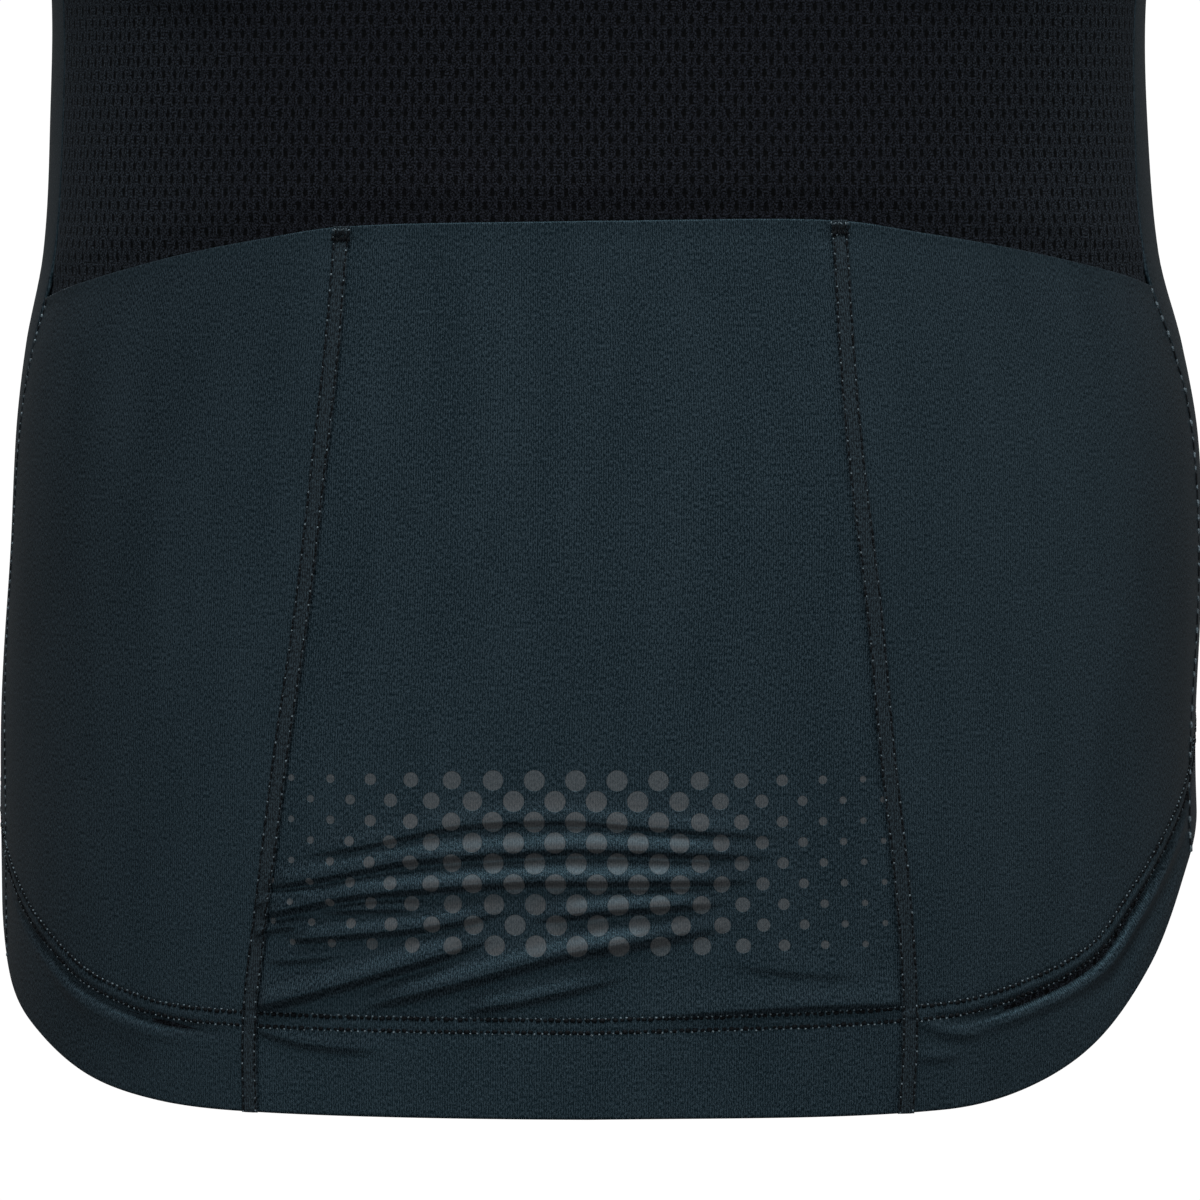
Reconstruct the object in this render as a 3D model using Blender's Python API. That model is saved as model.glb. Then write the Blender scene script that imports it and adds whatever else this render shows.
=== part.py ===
"""A short-sleeved cycling jersey, filled out as it is worn, with three rear pockets and a full front zip.

The cloth lies on one body surface, drawn through a table of sections. A place on that surface is a turn and
a level: the turn is an angle round the body in degrees, 0 at the centre back, positive towards the wearer's
left, 180 at the centre front, and the level is a height up to the armpit and then a run over the shoulder.
The frame: +Z up, the front faces -Y, the wearer's left is +X, and the origin is midway between the two
points where the shoulder seams meet the collar. Everything is in metres.
"""

import math
from collections import namedtuple
from functools import cache

import bmesh
import bpy
from mathutils import Matrix, Vector

# Cloth
WALL = 0.0014  # body, sleeve and collar cloth
POCKET_WALL = 0.0012
POCKET_CLEARANCE = 0.0004  # between a pocket and the back behind it
STRIP_WALL = 0.0007  # the stitched strips over the pocket seams
SEAM_GAP = 0.0003
SIDE_GAP = 0.0004  # at long curved seams, so that the chords of the two edges stay a seam's gap apart

# Body: half widths and depths of each section, and the exponent that squares its corners
Section = namedtuple("Section", "level half_width front back squareness lean")
SECTIONS = (
    Section(-0.720, 0.1655, 0.108, 0.113, 2.3, -0.0001),
    Section(-0.660, 0.1673, 0.110, 0.116, 2.3, -0.0003),
    Section(-0.600, 0.1669, 0.111, 0.116, 2.3, 0.0003),
    Section(-0.550, 0.1665, 0.110, 0.112, 2.3, -0.0015),
    Section(-0.515, 0.1651, 0.108, 0.107, 2.3, -0.0016),
    Section(-0.490, 0.1613, 0.107, 0.103, 2.3, -0.0010),
    Section(-0.465, 0.1555, 0.105, 0.099, 2.3, -0.0002),
    Section(-0.430, 0.1530, 0.104, 0.095, 2.3, 0.0002),
    Section(-0.390, 0.1524, 0.105, 0.094, 2.35, 0.0000),
    Section(-0.340, 0.1580, 0.109, 0.099, 2.45, 0.0000),
    Section(-0.270, 0.1690, 0.115, 0.108, 2.6, 0.0000),
    Section(-0.210, 0.1765, 0.113, 0.113, 2.8, 0.0000),
    Section(-0.150, 0.1830, 0.102, 0.112, 3.1, 0.0000),
    Section(-0.090, 0.1920, 0.084, 0.104, 3.4, 0.0000),
    Section(-0.040, 0.2020, 0.074, 0.090, 3.6, 0.0000),
    Section(0.040, 0.2050, 0.068, 0.080, 3.8, 0.0000),
)

# Shoulders: above CAP_BASE the body closes in a rounded cap onto the ridge that the shoulder seam follows
CAP_BASE = -0.210
CAP_RUN = 0.330  # the level gained from CAP_BASE to the ridge
CAP_POWER = 0.8  # under 1, so that the cap is fuller than an ellipse
SHOULDER_TOP = CAP_BASE + CAP_RUN
SHOULDER_SLOPE = math.tan(math.radians(21.0))
RIDGE_ROUND = 0.040  # rounds the ridge's top over the neck
NECK_HALF_WIDTH = 0.070
SHOULDER_HALF_WIDTH = 0.200
RIDGE_HALF_WIDTH = 0.205
NECK_TURN = math.degrees(math.asin(NECK_HALF_WIDTH / RIDGE_HALF_WIDTH))
SHOULDER_TURN = math.degrees(math.asin(SHOULDER_HALF_WIDTH / RIDGE_HALF_WIDTH))
BACK_NECK_LEVEL = 0.006
FRONT_NECK_LEVEL = -0.098

# Armholes and sleeves
ARMPIT_LEVEL = -0.205
ARMHOLE_SCOOP = {"back": 22.0, "front": 24.0}  # degrees that the armhole cuts in at its mid height
ARM_TILT = math.radians(25.0)  # of the arm from the vertical
ARM_ROOT = Vector((0.185, 0.0, -0.100))
SLEEVE_REACH = 0.235  # from the arm's root to the cuff's centre
CUFF_RADII = (0.050, 0.055)  # across the arm in the front view, and front to back
SLEEVE_GAP = 0.0006  # along the cloth at the armhole
SLEEVE_TOP_START = Vector((0.94, 0.0, -0.34))
SLEEVE_UNDER_START = Vector((0.80, 0.0, -0.60))
SLEEVE_STRAIGHTNESS = 0.8  # of the lines near the cuff

# Hem: its height above its lowest point, which is longest at the back; the back hangs lower on the left
HEM_BOTTOM = -0.6947
HemPoint = namedtuple("HemPoint", "turn left right")
HEM = (
    HemPoint(0, 0.0000, 0.0000),
    HemPoint(35, 0.0003, 0.0013),
    HemPoint(45, 0.0018, 0.0060),
    HemPoint(55, 0.0064, 0.0170),
    HemPoint(65, 0.0150, 0.0355),
    HemPoint(75, 0.0260, 0.0575),
    HemPoint(83, 0.0440, 0.0690),
    HemPoint(92, 0.0660, 0.0800),
    HemPoint(106, 0.0880, 0.0920),
    HemPoint(125, 0.1000, 0.1000),
    HemPoint(180, 0.1040, 0.1040),
)
HEM_DEPTH = 0.0255  # from the edge up to the hem's double seam

# Side seams and pockets. A seam's own level is read at a round turn near it
SIDE_SEAM_TURN = 80.0
POCKET_SEAM_TURN = 28.0
SideSeam = namedtuple("SideSeam", "level turn")
SIDE_SEAM = (
    SideSeam(-0.720, 79),
    SideSeam(-0.620, 79),
    SideSeam(-0.560, 82),
    SideSeam(-0.505, 81),
    SideSeam(-0.475, 77),
    SideSeam(-0.420, 76),
    SideSeam(-0.320, 80),
    SideSeam(-0.205, 90),
)
PocketTop = namedtuple("PocketTop", "turn level")
POCKET_TOP = (
    PocketTop(0, -0.4555),
    PocketTop(25, -0.4562),
    PocketTop(35, -0.4596),
    PocketTop(45, -0.4634),
    PocketTop(55, -0.4673),
    PocketTop(65, -0.4708),
    PocketTop(80, -0.4755),
    PocketTop(180, -0.4755),
)
PocketSeam = namedtuple("PocketSeam", "level left right")  # half widths of the centre pocket
POCKET_SEAM = (
    PocketSeam(-0.700, 0.0906, 0.0846),
    PocketSeam(-0.668, 0.0906, 0.0860),
    PocketSeam(-0.635, 0.0865, 0.0840),
    PocketSeam(-0.600, 0.0820, 0.0802),
    PocketSeam(-0.560, 0.0764, 0.0764),
    PocketSeam(-0.520, 0.0718, 0.0714),
    PocketSeam(-0.490, 0.0686, 0.0688),
    PocketSeam(-0.455, 0.0662, 0.0668),
)
STRIP_WIDTH = 0.0050
BACK_HEM_SETBACK = 0.0020  # the back's edge hangs this far above the pockets' edge
SINK_RUN = 0.030  # above the pockets the back comes out to the body surface over this height

# The folds of the centre pocket: the crest of each runs from one end over its middle to the other end
Fold = namedtuple("Fold", "from_x from_z middle_z to_x to_z rise half_width")
FOLDS = (
    Fold(0.072, -0.6220, -0.6138, -0.052, -0.6175, 0.0015, 0.0031),
    Fold(0.084, -0.6325, -0.6218, -0.048, -0.6228, 0.0020, 0.0031),
    Fold(0.084, -0.6405, -0.6300, -0.042, -0.6298, 0.0021, 0.0032),
    Fold(0.072, -0.6408, -0.6380, -0.034, -0.6362, 0.0016, 0.0029),
    Fold(0.074, -0.6465, -0.6428, 0.024, -0.6388, 0.0012, 0.0027),
    Fold(0.088, -0.6665, -0.6525, 0.026, -0.6440, 0.0022, 0.0040),
    Fold(0.062, -0.6650, -0.6525, -0.028, -0.6440, 0.0020, 0.0038),
    Fold(0.034, -0.6655, -0.6620, -0.006, -0.6565, 0.0010, 0.0030),
)
FOLD_FADE = 0.25  # the share of a fold's length over which each end fades

# Collar and zip
COLLAR_HEIGHT = 0.038
COLLAR_SIDE_DROP = 0.007  # how much lower it is over the shoulders
COLLAR_SIDE_REACH = 0.028
COLLAR_TAPER = 0.88  # the collar's top ring over its bottom ring
COLLAR_LEAN = Vector((0.0, -0.10, 1.0)).normalized()
COLLAR_SEAM_GAP = 0.0004  # along the slanted collar
ZIP_HALF_OPENING = 0.0050  # between the centre front and each front's edge
CHAIN_HALF_WIDTH = 0.0023
CHAIN_OUT = -0.0012  # its outer face, inside the cloth's
CHAIN_THICK = 0.0016
TAPE_THICK = 0.0006
TAPE_HALF_WIDTH = 0.0125
SLIDER_WIDTHS = (0.0086, 0.0066)  # of its plates, at the top and at the bottom
SLIDER_LENGTH = 0.0110
SLIDER_PLATE = 0.0012
SLIDER_DROP = 0.0010  # from the collar's top edge to the slider's top
BRIDGE_WIDTH = 0.0040
BRIDGE_LENGTH = 0.0030
BAIL_WIDTH = 0.0017
BAIL_BAR = 0.0012
BAIL_LENGTH = 0.0036  # both inside the bail
BAIL_HEIGHT = 0.0020
PULL_LENGTH = 0.0240
PULL_WIDTHS = (0.0070, 0.0050)  # at the cross bar and at the free end
PULL_THICK = 0.0012
PULL_ARM = 0.0013
PULL_END_ROUNDING = 0.95  # of its half width
PULL_CLEARANCE = 0.0011  # between the blade and the bail that it swings round
DIP = 0.0002  # how far joined shapes reach into each other
ARC_STEPS = 4

# Grids: how many cells each stretch of a panel has
HEM_ROWS, POCKET_ROWS, SIDE_ROWS, SHOULDER_ROWS = 2, 10, 8, 10
NECK_COLUMNS, OUTER_COLUMNS = 6, 9
FOLD_ROWS = 30  # in the folded lower part of the centre pocket
FOLDED_SHARE = 0.30
SLEEVE_ROWS = 7
COLLAR_ROWS = 3
SHARP_ANGLE = math.radians(40.0)

# Materials: colour, roughness and metallic value
Finish = namedtuple("Finish", "colour roughness metallic")
FINISHES = {
    "petrol_jersey": Finish((0.014, 0.023, 0.030), 0.55, 0.0),
    "black_mesh": Finish((0.006, 0.007, 0.009), 0.80, 0.0),
    "seam_strip": Finish((0.010, 0.016, 0.020), 0.60, 0.0),
    "zip_black": Finish((0.010, 0.010, 0.011), 0.45, 0.0),
    "zip_metal": Finish((0.060, 0.062, 0.066), 0.35, 1.0),
}


def smooth_at(rows, column, at):
    """A column of a table at any place along its first column, on a smooth curve through its rows."""
    keys = [row[0] for row in rows]
    values = [getattr(row, column) for row in rows]
    at = min(max(at, keys[0]), keys[-1])
    i = max(k for k in range(len(keys) - 1) if keys[k] <= at)

    def slope(k):
        low, high = max(k - 1, 0), min(k + 1, len(keys) - 1)
        return (values[high] - values[low]) / (keys[high] - keys[low])

    span = keys[i + 1] - keys[i]
    t = (at - keys[i]) / span
    ease = t * t * (3 - 2 * t)
    return (
        values[i] + ease * (values[i + 1] - values[i])
        + (t**3 - 2 * t * t + t) * span * slope(i)
        + (t**3 - t * t) * span * slope(i + 1)
    )


def blend(low, high, share):
    return low + (high - low) * share


def smooth_step(share):
    share = min(max(share, 0.0), 1.0)
    return share * share * (3 - 2 * share)


# The body surface


def ridge_height(x):
    """The shoulder ridge's height, which is 0 at the neck points."""
    return SHOULDER_SLOPE * (math.hypot(NECK_HALF_WIDTH, RIDGE_ROUND) - math.hypot(x, RIDGE_ROUND))


def surface(turn, level):
    """The point of the body surface at a turn and a level."""
    across = math.sin(math.radians(turn))
    height, closing = level, 1.0
    if level > CAP_BASE:
        rise = math.radians(90.0) * min((level - CAP_BASE) / CAP_RUN, 1.0)
        height = CAP_BASE + (ridge_height(across * RIDGE_HALF_WIDTH) - CAP_BASE) * math.sin(rise)
        closing = max(math.cos(rise), 0.0) ** CAP_POWER
    facing = "back" if math.cos(math.radians(turn)) > 0 else "front"
    depth = smooth_at(SECTIONS, facing, height) * closing
    power = smooth_at(SECTIONS, "squareness", height)
    y = depth * max(0.0, 1.0 - abs(across) ** power) ** (1.0 / power)
    x = smooth_at(SECTIONS, "half_width", height) * across + smooth_at(SECTIONS, "lean", height)
    return Vector((x, y if facing == "back" else -y, height))


def outward(turn, level):
    """The outward normal of the body surface."""
    step, rise = 0.5, 0.001
    top = min(level + rise, SHOULDER_TOP)
    round_it = surface(turn + step, level) - surface(turn - step, level)
    up = surface(turn, top) - surface(turn, top - 2 * rise)
    if level > SHOULDER_TOP - rise:  # the turn's own step vanishes front to back on the ridge, not across it
        round_it = surface(turn + step, SHOULDER_TOP) - surface(turn - step, SHOULDER_TOP)
    return up.cross(round_it).normalized()


def cloth_point(turn, level, out=0.0):
    return surface(turn, level) + outward(turn, level) * out


def turn_at(x, height):
    """The turn, in the back half, of the place at that x and height."""
    across = (x - smooth_at(SECTIONS, "lean", height)) / smooth_at(SECTIONS, "half_width", height)
    return math.degrees(math.asin(across))


# The lines that the panels meet on. A line number runs from 0 at the hem to 4 at the neckline and shoulder
# seam: 1 is the hem's seam, 2 the pockets' top and 3 the armpit. A fraction lies between two lines.


def hem_level(turn):
    around = abs((turn + 180.0) % 360.0 - 180.0)
    side = "left" if (turn % 360.0) < 180.0 else "right"
    return HEM_BOTTOM + smooth_at(HEM, side, around)


def top_level(from_centre, facing):
    """The neckline's level or, beyond the neck, the shoulder seam's."""
    drop = BACK_NECK_LEVEL if facing == "back" else FRONT_NECK_LEVEL
    share = min(from_centre / NECK_TURN, 1.0)
    return blend(drop, SHOULDER_TOP, 1.0 - math.sqrt(max(0.0, 1.0 - share * share)))


def level_on(line, turn, facing):
    around = abs((turn + 180.0) % 360.0 - 180.0)
    from_centre = around if facing == "back" else 180.0 - around
    hem = hem_level(turn)
    lines = (
        hem,
        hem + HEM_DEPTH,
        smooth_at(POCKET_TOP, "level", around),
        ARMPIT_LEVEL,
        top_level(from_centre, facing),
    )
    low = min(int(line), 3)
    share = line - low
    if low == 3:
        share = 0.5 - 0.5 * math.cos(math.pi * share)
    return blend(lines[low], lines[low + 1], share)


def edge_turn(line, side, facing):
    """The turn from the centre back or front to the side seam, or above the armpit to the armhole."""
    if line <= 3:
        seam = smooth_at(SIDE_SEAM, "turn", level_on(line, side * SIDE_SEAM_TURN, "back"))
        return seam if facing == "back" else 180.0 - seam
    share = 0.5 - 0.5 * math.cos(math.pi * (line - 3))
    scoop = ARMHOLE_SCOOP[facing] * math.sin(math.pi * (line - 3))
    return blend(90.0, SHOULDER_TURN, share) - scoop


def middle_turn(line, side, facing):
    """The turn of the column that is the pocket's seam low on the back and the neck point at the top."""
    word = "left" if side > 0 else "right"
    if facing == "back" and line <= 2:
        level = level_on(line, side * POCKET_SEAM_TURN, "back")
        return side * turn_at(side * smooth_at(POCKET_SEAM, word, level), level)
    low = side * turn_at(side * getattr(POCKET_SEAM[-1], word), POCKET_SEAM[-1].level)
    return blend(low, NECK_TURN, smooth_step((line - 2) / 2))


def chart(column, line, side, facing):
    """The turn and level of a grid point. The column runs from 0 at the centre, through 1 at the pocket's
    seam and the neck point, to 2 at the side seam or armhole."""
    middle, edge = middle_turn(line, side, facing), edge_turn(line, side, facing)
    from_centre = middle * column if column <= 1 else blend(middle, edge, column - 1)
    turn = side * from_centre if facing == "back" else 180.0 - side * from_centre
    return turn, level_on(line, turn, facing)


def beside_zip(x, line):
    """The turn and level of the place on a line of the front at that x."""
    turn = 180.0
    for _ in range(3):
        level = level_on(line, turn, "front")
        turn = 180.0 - turn_at(x, surface(turn, level).z)
    return turn, level_on(line, turn, "front")


def steps(low, high, cells):
    return [blend(low, high, i / cells) for i in range(cells + 1)]


def panel_lines():
    """The grid lines that the back and the fronts share, so that they meet point to point at the sides."""
    return pocket_lines() + steps(2, 3, SIDE_ROWS)[1:] + steps(3, 4, SHOULDER_ROWS)[1:]


def neck_columns():
    """Columns from the centre to the neck point, even along the neckline's curve."""
    return [math.sin(math.radians(90.0 * i / NECK_COLUMNS)) for i in range(NECK_COLUMNS + 1)]


def pocket_lines():
    return steps(0, 1, HEM_ROWS) + steps(1, 2, POCKET_ROWS)[1:]


def panel_columns():
    return neck_columns() + steps(1, 2, OUTER_COLUMNS)[1:]


def whole_width(columns):
    """Each column of a whole panel with its side, from the wearer's right to the left."""
    return [(-1, column) for column in columns[::-1]] + [(1, column) for column in columns[1:]]


def seam_inset(turn, level, side):
    """The turn that half a seam's gap takes at that place, positive on the wearer's left."""
    step = 0.2
    length = (surface(turn + step, level) - surface(turn - step, level)).length
    return side * step * SIDE_GAP / max(length, 1e-6)


# Solids


def sided(name, side):
    return f"{name}_{'left' if side > 0 else 'right'}"


def new_object(name, mesh, finish):
    mesh.materials.append(material(finish))
    thing = bpy.data.objects.new(name, mesh)
    bpy.context.scene.collection.objects.link(thing)
    return thing


def material(name):
    made = bpy.data.materials.get(name)
    if made is None:
        finish = FINISHES[name]
        made = bpy.data.materials.new(name)
        made.use_nodes = True
        shader = made.node_tree.nodes["Principled BSDF"]
        shader.inputs["Base Color"].default_value = (*finish.colour, 1.0)
        shader.inputs["Roughness"].default_value = finish.roughness
        shader.inputs["Metallic"].default_value = finish.metallic
    return made


def wall(name, outer, inner, finish, closed=False):
    """A closed solid between two grids of points, each a list of rows. A closed one joins its last column to
    its first, as a tube does."""
    rows, columns = len(outer), len(outer[0])
    points = [p for grid in (outer, inner) for row in grid for p in row]

    def at(layer, r, c):
        return (layer * rows + r) * columns + c % columns

    faces = []
    for r in range(rows - 1):
        for c in range(columns if closed else columns - 1):
            faces.append((at(0, r, c), at(0, r, c + 1), at(0, r + 1, c + 1), at(0, r + 1, c)))
            faces.append((at(1, r, c), at(1, r + 1, c), at(1, r + 1, c + 1), at(1, r, c + 1)))
    for r, turned in ((0, False), (rows - 1, True)):
        for c in range(columns if closed else columns - 1):
            rim = (at(0, r, c), at(1, r, c), at(1, r, c + 1), at(0, r, c + 1))
            faces.append(rim[::-1] if turned else rim)
    if not closed:
        for c, turned in ((0, True), (columns - 1, False)):
            for r in range(rows - 1):
                rim = (at(0, r, c), at(1, r, c), at(1, r + 1, c), at(0, r + 1, c))
                faces.append(rim[::-1] if turned else rim)
    mesh = bpy.data.meshes.new(name)
    mesh.from_pydata(points, [], faces)
    face_out(mesh)
    thing = new_object(name, mesh, finish)
    mesh.shade_smooth()
    mesh.set_sharp_from_angle(angle=SHARP_ANGLE)
    return thing


def face_out(mesh):
    """Turns a closed mesh's faces outwards."""
    shaped = bmesh.new()
    shaped.from_mesh(mesh)
    bmesh.ops.recalc_face_normals(shaped, faces=shaped.faces)
    if shaped.calc_volume(signed=True) < 0:
        bmesh.ops.reverse_faces(shaped, faces=shaped.faces)
    shaped.to_mesh(mesh)
    shaped.free()


def cloth(name, places, finish, thick, out_at):
    """A wall whose outer face lies out_at(turn, level) outside the body surface at each of the places."""
    outer = [[cloth_point(t, v, out_at(t, v)) for t, v in row] for row in places]
    inner = [[cloth_point(t, v, out_at(t, v) - thick) for t, v in row] for row in places]
    return wall(name, outer, inner, finish)


# Body panels


def sink(turn, level):
    """How far the back lies inside the body surface: behind the pockets it makes room for them."""
    top = smooth_at(POCKET_TOP, "level", abs(turn))
    depth = POCKET_WALL + POCKET_CLEARANCE
    return -depth * smooth_step((top + SINK_RUN - level) / SINK_RUN)


def ridge_side(turn):
    """The level half a seam's gap below the shoulder seam."""
    low, high = CAP_BASE, SHOULDER_TOP
    for _ in range(20):
        middle = (low + high) / 2
        if abs(surface(turn, middle).y) > SEAM_GAP / 2:
            low = middle
        else:
            high = middle
    return low


def back_place(column, line, side):
    turn, level = chart(column, line, side, "back")
    if column == 2 and line <= 3:
        turn -= seam_inset(turn, level, side)
    if line == 0:
        level += BACK_HEM_SETBACK
    if line == 4 and column >= 1:
        level = ridge_side(turn)
    return turn, level


def back_panel():
    """The mesh back, from side seam to side seam and from the hem to the neck and shoulder seams."""
    across = whole_width(panel_columns())
    rows = [[back_place(column, line, side) for side, column in across] for line in panel_lines()]
    return cloth("back", rows, "black_mesh", WALL, sink)


def front_place(column, line, side):
    """The turn and level of a front's grid point, whose first column runs along the zip."""
    if column == 0:
        return beside_zip(side * ZIP_HALF_OPENING, line)
    turn, level = chart(column, line, side, "front")
    if column == 2 and line <= 3:
        turn += seam_inset(turn, level, side)
    if line == 4 and column >= 1:
        level = ridge_side(turn)
    return turn, level


def front_panel(side):
    """A front, from the zip to the side seam, which lies just behind the side."""
    rows = [[front_place(column, line, side) for column in panel_columns()] for line in panel_lines()]
    return cloth(sided("front", side), rows, "petrol_jersey", WALL, lambda turn, level: 0.0)


# Pockets


def fold_rise(x, z):
    """How far the folds lift the cloth there: each is a soft ridge that fades towards both its ends."""
    lift = 0.0
    for fold in FOLDS:
        share = (fold.from_x - x) / (fold.from_x - fold.to_x)
        if 0 < share < 1:
            bow = fold.middle_z - (fold.from_z + fold.to_z) / 2
            crest = blend(fold.from_z, fold.to_z, share) + 4 * bow * share * (1 - share)
            off = (z - crest) / fold.half_width
            lift += fold.rise * smooth_step(min(share, 1 - share) / FOLD_FADE) * math.exp(-off * off)
    return lift


def pocket_place(column, line, side, towards_side):
    """A grid point of a pocket; those on a seam move half its gap away from the neighbour."""
    turn, level = chart(column, line, side, "back")
    inset = seam_inset(turn, level, side)
    if column == 1:
        turn += inset if towards_side else -inset
    if column == 2:
        turn -= inset
    return turn, level


def side_pocket(side):
    columns = steps(1, 2, OUTER_COLUMNS)
    rows = [[pocket_place(column, line, side, True) for column in columns] for line in pocket_lines()]
    return cloth(sided("pocket", side), rows, "petrol_jersey", POCKET_WALL, lambda turn, level: 0.0)


def centre_pocket():
    """The centre pocket, with closer rows where it is folded."""
    folded = steps(1, 1 + FOLDED_SHARE, FOLD_ROWS)
    lines = [line for line in pocket_lines() if line < 1] + folded
    lines += [line for line in pocket_lines() if line > 1 + FOLDED_SHARE]
    across = whole_width(neck_columns())
    rows = [[pocket_place(column, line, side, False) for side, column in across] for line in lines]

    def lift(turn, level):
        return fold_rise(surface(turn, level).x, level)

    return cloth("pocket_centre", rows, "petrol_jersey", POCKET_WALL, lift)


def seam_strip(side):
    """The strip over a pocket's seam, from the pocket's top to the hem."""
    half_turn = math.degrees(STRIP_WIDTH / 2 / smooth_at(SECTIONS, "half_width", HEM_BOTTOM))
    rows = []
    for line in pocket_lines():
        middle, level = chart(1, line, side, "back")
        rows.append([(middle + half_turn * across, level) for across in (-1, 0, 1)])
    out = SEAM_GAP + STRIP_WALL
    return cloth(sided("seam_strip", side), rows, "seam_strip", STRIP_WALL, lambda turn, level: out)


# Sleeves


def armhole_ring():
    """Turn, level, share of the way up and facing, up the front of the armhole and down its back."""
    ring = []
    for facing, lines in (
        ("front", steps(3, 4, SHOULDER_ROWS)),
        ("back", steps(4, 3, SHOULDER_ROWS)[1:-1]),
    ):
        ring += [(*chart(2, line, 1, facing), line - 3, facing) for line in lines]
    return ring


def sleeve(side):
    """A tube whose lines leave the armhole and swing down to the cuff; the right one mirrors the left."""
    along_arm = Vector((math.sin(ARM_TILT), 0.0, -math.cos(ARM_TILT)))
    across_arm = Vector((math.cos(ARM_TILT), 0.0, math.sin(ARM_TILT)))
    cuff = ARM_ROOT + along_arm * SLEEVE_REACH
    mirror = Vector((side, 1.0, 1.0))
    curves = []
    ring = armhole_ring()
    for turn, level, up, facing in ring:
        start, normal = surface(turn, level), outward(turn, level)
        angle = math.pi * up
        end = cuff - across_arm * CUFF_RADII[0] * math.cos(angle)
        end.y += CUFF_RADII[1] * math.sin(angle) * (-1 if facing == "front" else 1)
        leave = SLEEVE_UNDER_START.lerp(SLEEVE_TOP_START, up)
        leave -= normal * min(0.0, normal.dot(leave))  # never under the cloth that it is sewn to
        reach = (end - start).length
        start += leave.normalized() * SLEEVE_GAP
        arrive = along_arm * reach * SLEEVE_STRAIGHTNESS
        curves.append((start, leave.normalized() * reach, arrive, end, normal))

    def at(curve, share):
        start, leave, arrive, end, _ = curve
        ease = share * share * (3 - 2 * share)
        return (
            start.lerp(end, ease)
            + leave * (share**3 - 2 * share * share + share)
            + arrive * (share**3 - share * share)
        )

    def normal_at(k, share):
        around = at(curves[(k + 1) % len(curves)], share) - at(curves[k - 1], share)
        along = at(curves[k], min(share + 0.01, 1.0)) - at(curves[k], max(share - 0.01, 0.0))
        own = along.cross(around).normalized()
        if share > 0:
            return own
        # over the shoulder the sleeve's wall meets the body's squarely
        return own.lerp(curves[k][4], ring[k][2]).normalized()

    outer, inner = [], []
    for row in range(SLEEVE_ROWS + 1):
        share = row / SLEEVE_ROWS
        points = [at(curve, share) for curve in curves]
        outer.append([p * mirror for p in points])
        inner.append([(p - normal_at(k, share) * WALL) * mirror for k, p in enumerate(points)])
    return wall(sided("sleeve", side), outer, inner, "petrol_jersey", closed=True)


# Collar


def neckline():
    """Points of the neckline from the left side of the zip, round the back, to the right side of the zip."""
    round_neck = neck_columns()
    points = []
    for side in (1, -1):
        front = [surface(*front_place(0, 4, side))]
        front += [surface(*chart(column, 4, side, "front")) for column in round_neck[1:]]
        back = [surface(*chart(column, 4, side, "back")) for column in round_neck[-2::-1]]
        points += front + back if side > 0 else (front + back[:-1])[::-1]
    return points


@cache
def neck_middle():
    base = neckline()
    return sum(base, Vector()) / len(base)


def collar_point(base, share, at_zip):
    """A point of the collar's outer face, above a point of the neckline; its edges keep along the zip."""
    taper = blend(1.0, COLLAR_TAPER, share)
    drop = COLLAR_SIDE_DROP * math.exp(-((base.y / COLLAR_SIDE_REACH) ** 2))
    middle = neck_middle()
    risen = middle + (base - middle) * taper + COLLAR_LEAN * (COLLAR_HEIGHT - drop) * share
    if at_zip:
        risen.x = base.x
    return risen


def collar():
    base = neckline()
    last = len(base) - 1
    shares = [COLLAR_SEAM_GAP / COLLAR_HEIGHT] + steps(0, 1, COLLAR_ROWS)[1:]
    outer = [[collar_point(p, share, c in (0, last)) for c, p in enumerate(base)] for share in shares]
    inner = []
    for r, row in enumerate(outer):
        offset = []
        for c, p in enumerate(row):
            around = row[min(c + 1, last)] - row[max(c - 1, 0)]
            up = outer[min(r + 1, COLLAR_ROWS)][c] - outer[max(r - 1, 0)][c]
            normal = around.cross(up)
            if c in (0, last):
                normal.x = 0.0
            offset.append(p - normal.normalized() * WALL)
        inner.append(offset)
    return wall("collar", outer, inner, "petrol_jersey")


# Zip


def front_column(column, side):
    """Points up a column of the front and on up the collar's outer face."""
    points = [surface(*front_place(column, line, side)) for line in panel_lines()]
    return points + [collar_point(points[-1], share, column == 0) for share in steps(0, 1, COLLAR_ROWS)[1:]]


def zip_column(x, out):
    """Points up the centre front to the collar's top, at that x and that far outside the cloth."""
    side = 1 if x >= 0 else -1
    edge, beyond = (front_column(column, side) for column in neck_columns()[:2])
    points = []
    for near, far in zip(edge, beyond):
        share = (abs(x) - ZIP_HALF_OPENING) / (abs(far.x) - ZIP_HALF_OPENING)
        point = near.lerp(far, max(share, 0.0))
        points.append(Vector((x, point.y, point.z)))
    moved = []
    for i, point in enumerate(points):
        up = points[min(i + 1, len(points) - 1)] - points[max(i - 1, 0)]
        moved.append(point + Vector((0.0, -up.z, up.y)).normalized() * out)
    return moved


def zip_strip(name, across, out, thick, finish, end_short=0.0):
    """A strip along the zip with columns at the given x, its outer face that far outside the cloth."""
    columns = []
    for depth in (out, out - thick):
        for x in across:
            column = zip_column(x, depth)
            column[-1] -= (column[-1] - column[-2]).normalized() * end_short
            columns.append(column)
    outer, inner = (list(zip(*half)) for half in (columns[: len(across)], columns[len(across) :]))
    return wall(name, outer, inner, finish)


def zip_tape(side):
    across = [side * x for x in (CHAIN_HALF_WIDTH + SEAM_GAP, ZIP_HALF_OPENING, TAPE_HALF_WIDTH)]
    return zip_strip(sided("zip_tape", side), across, -WALL - SEAM_GAP, TAPE_THICK, "zip_black")


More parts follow.
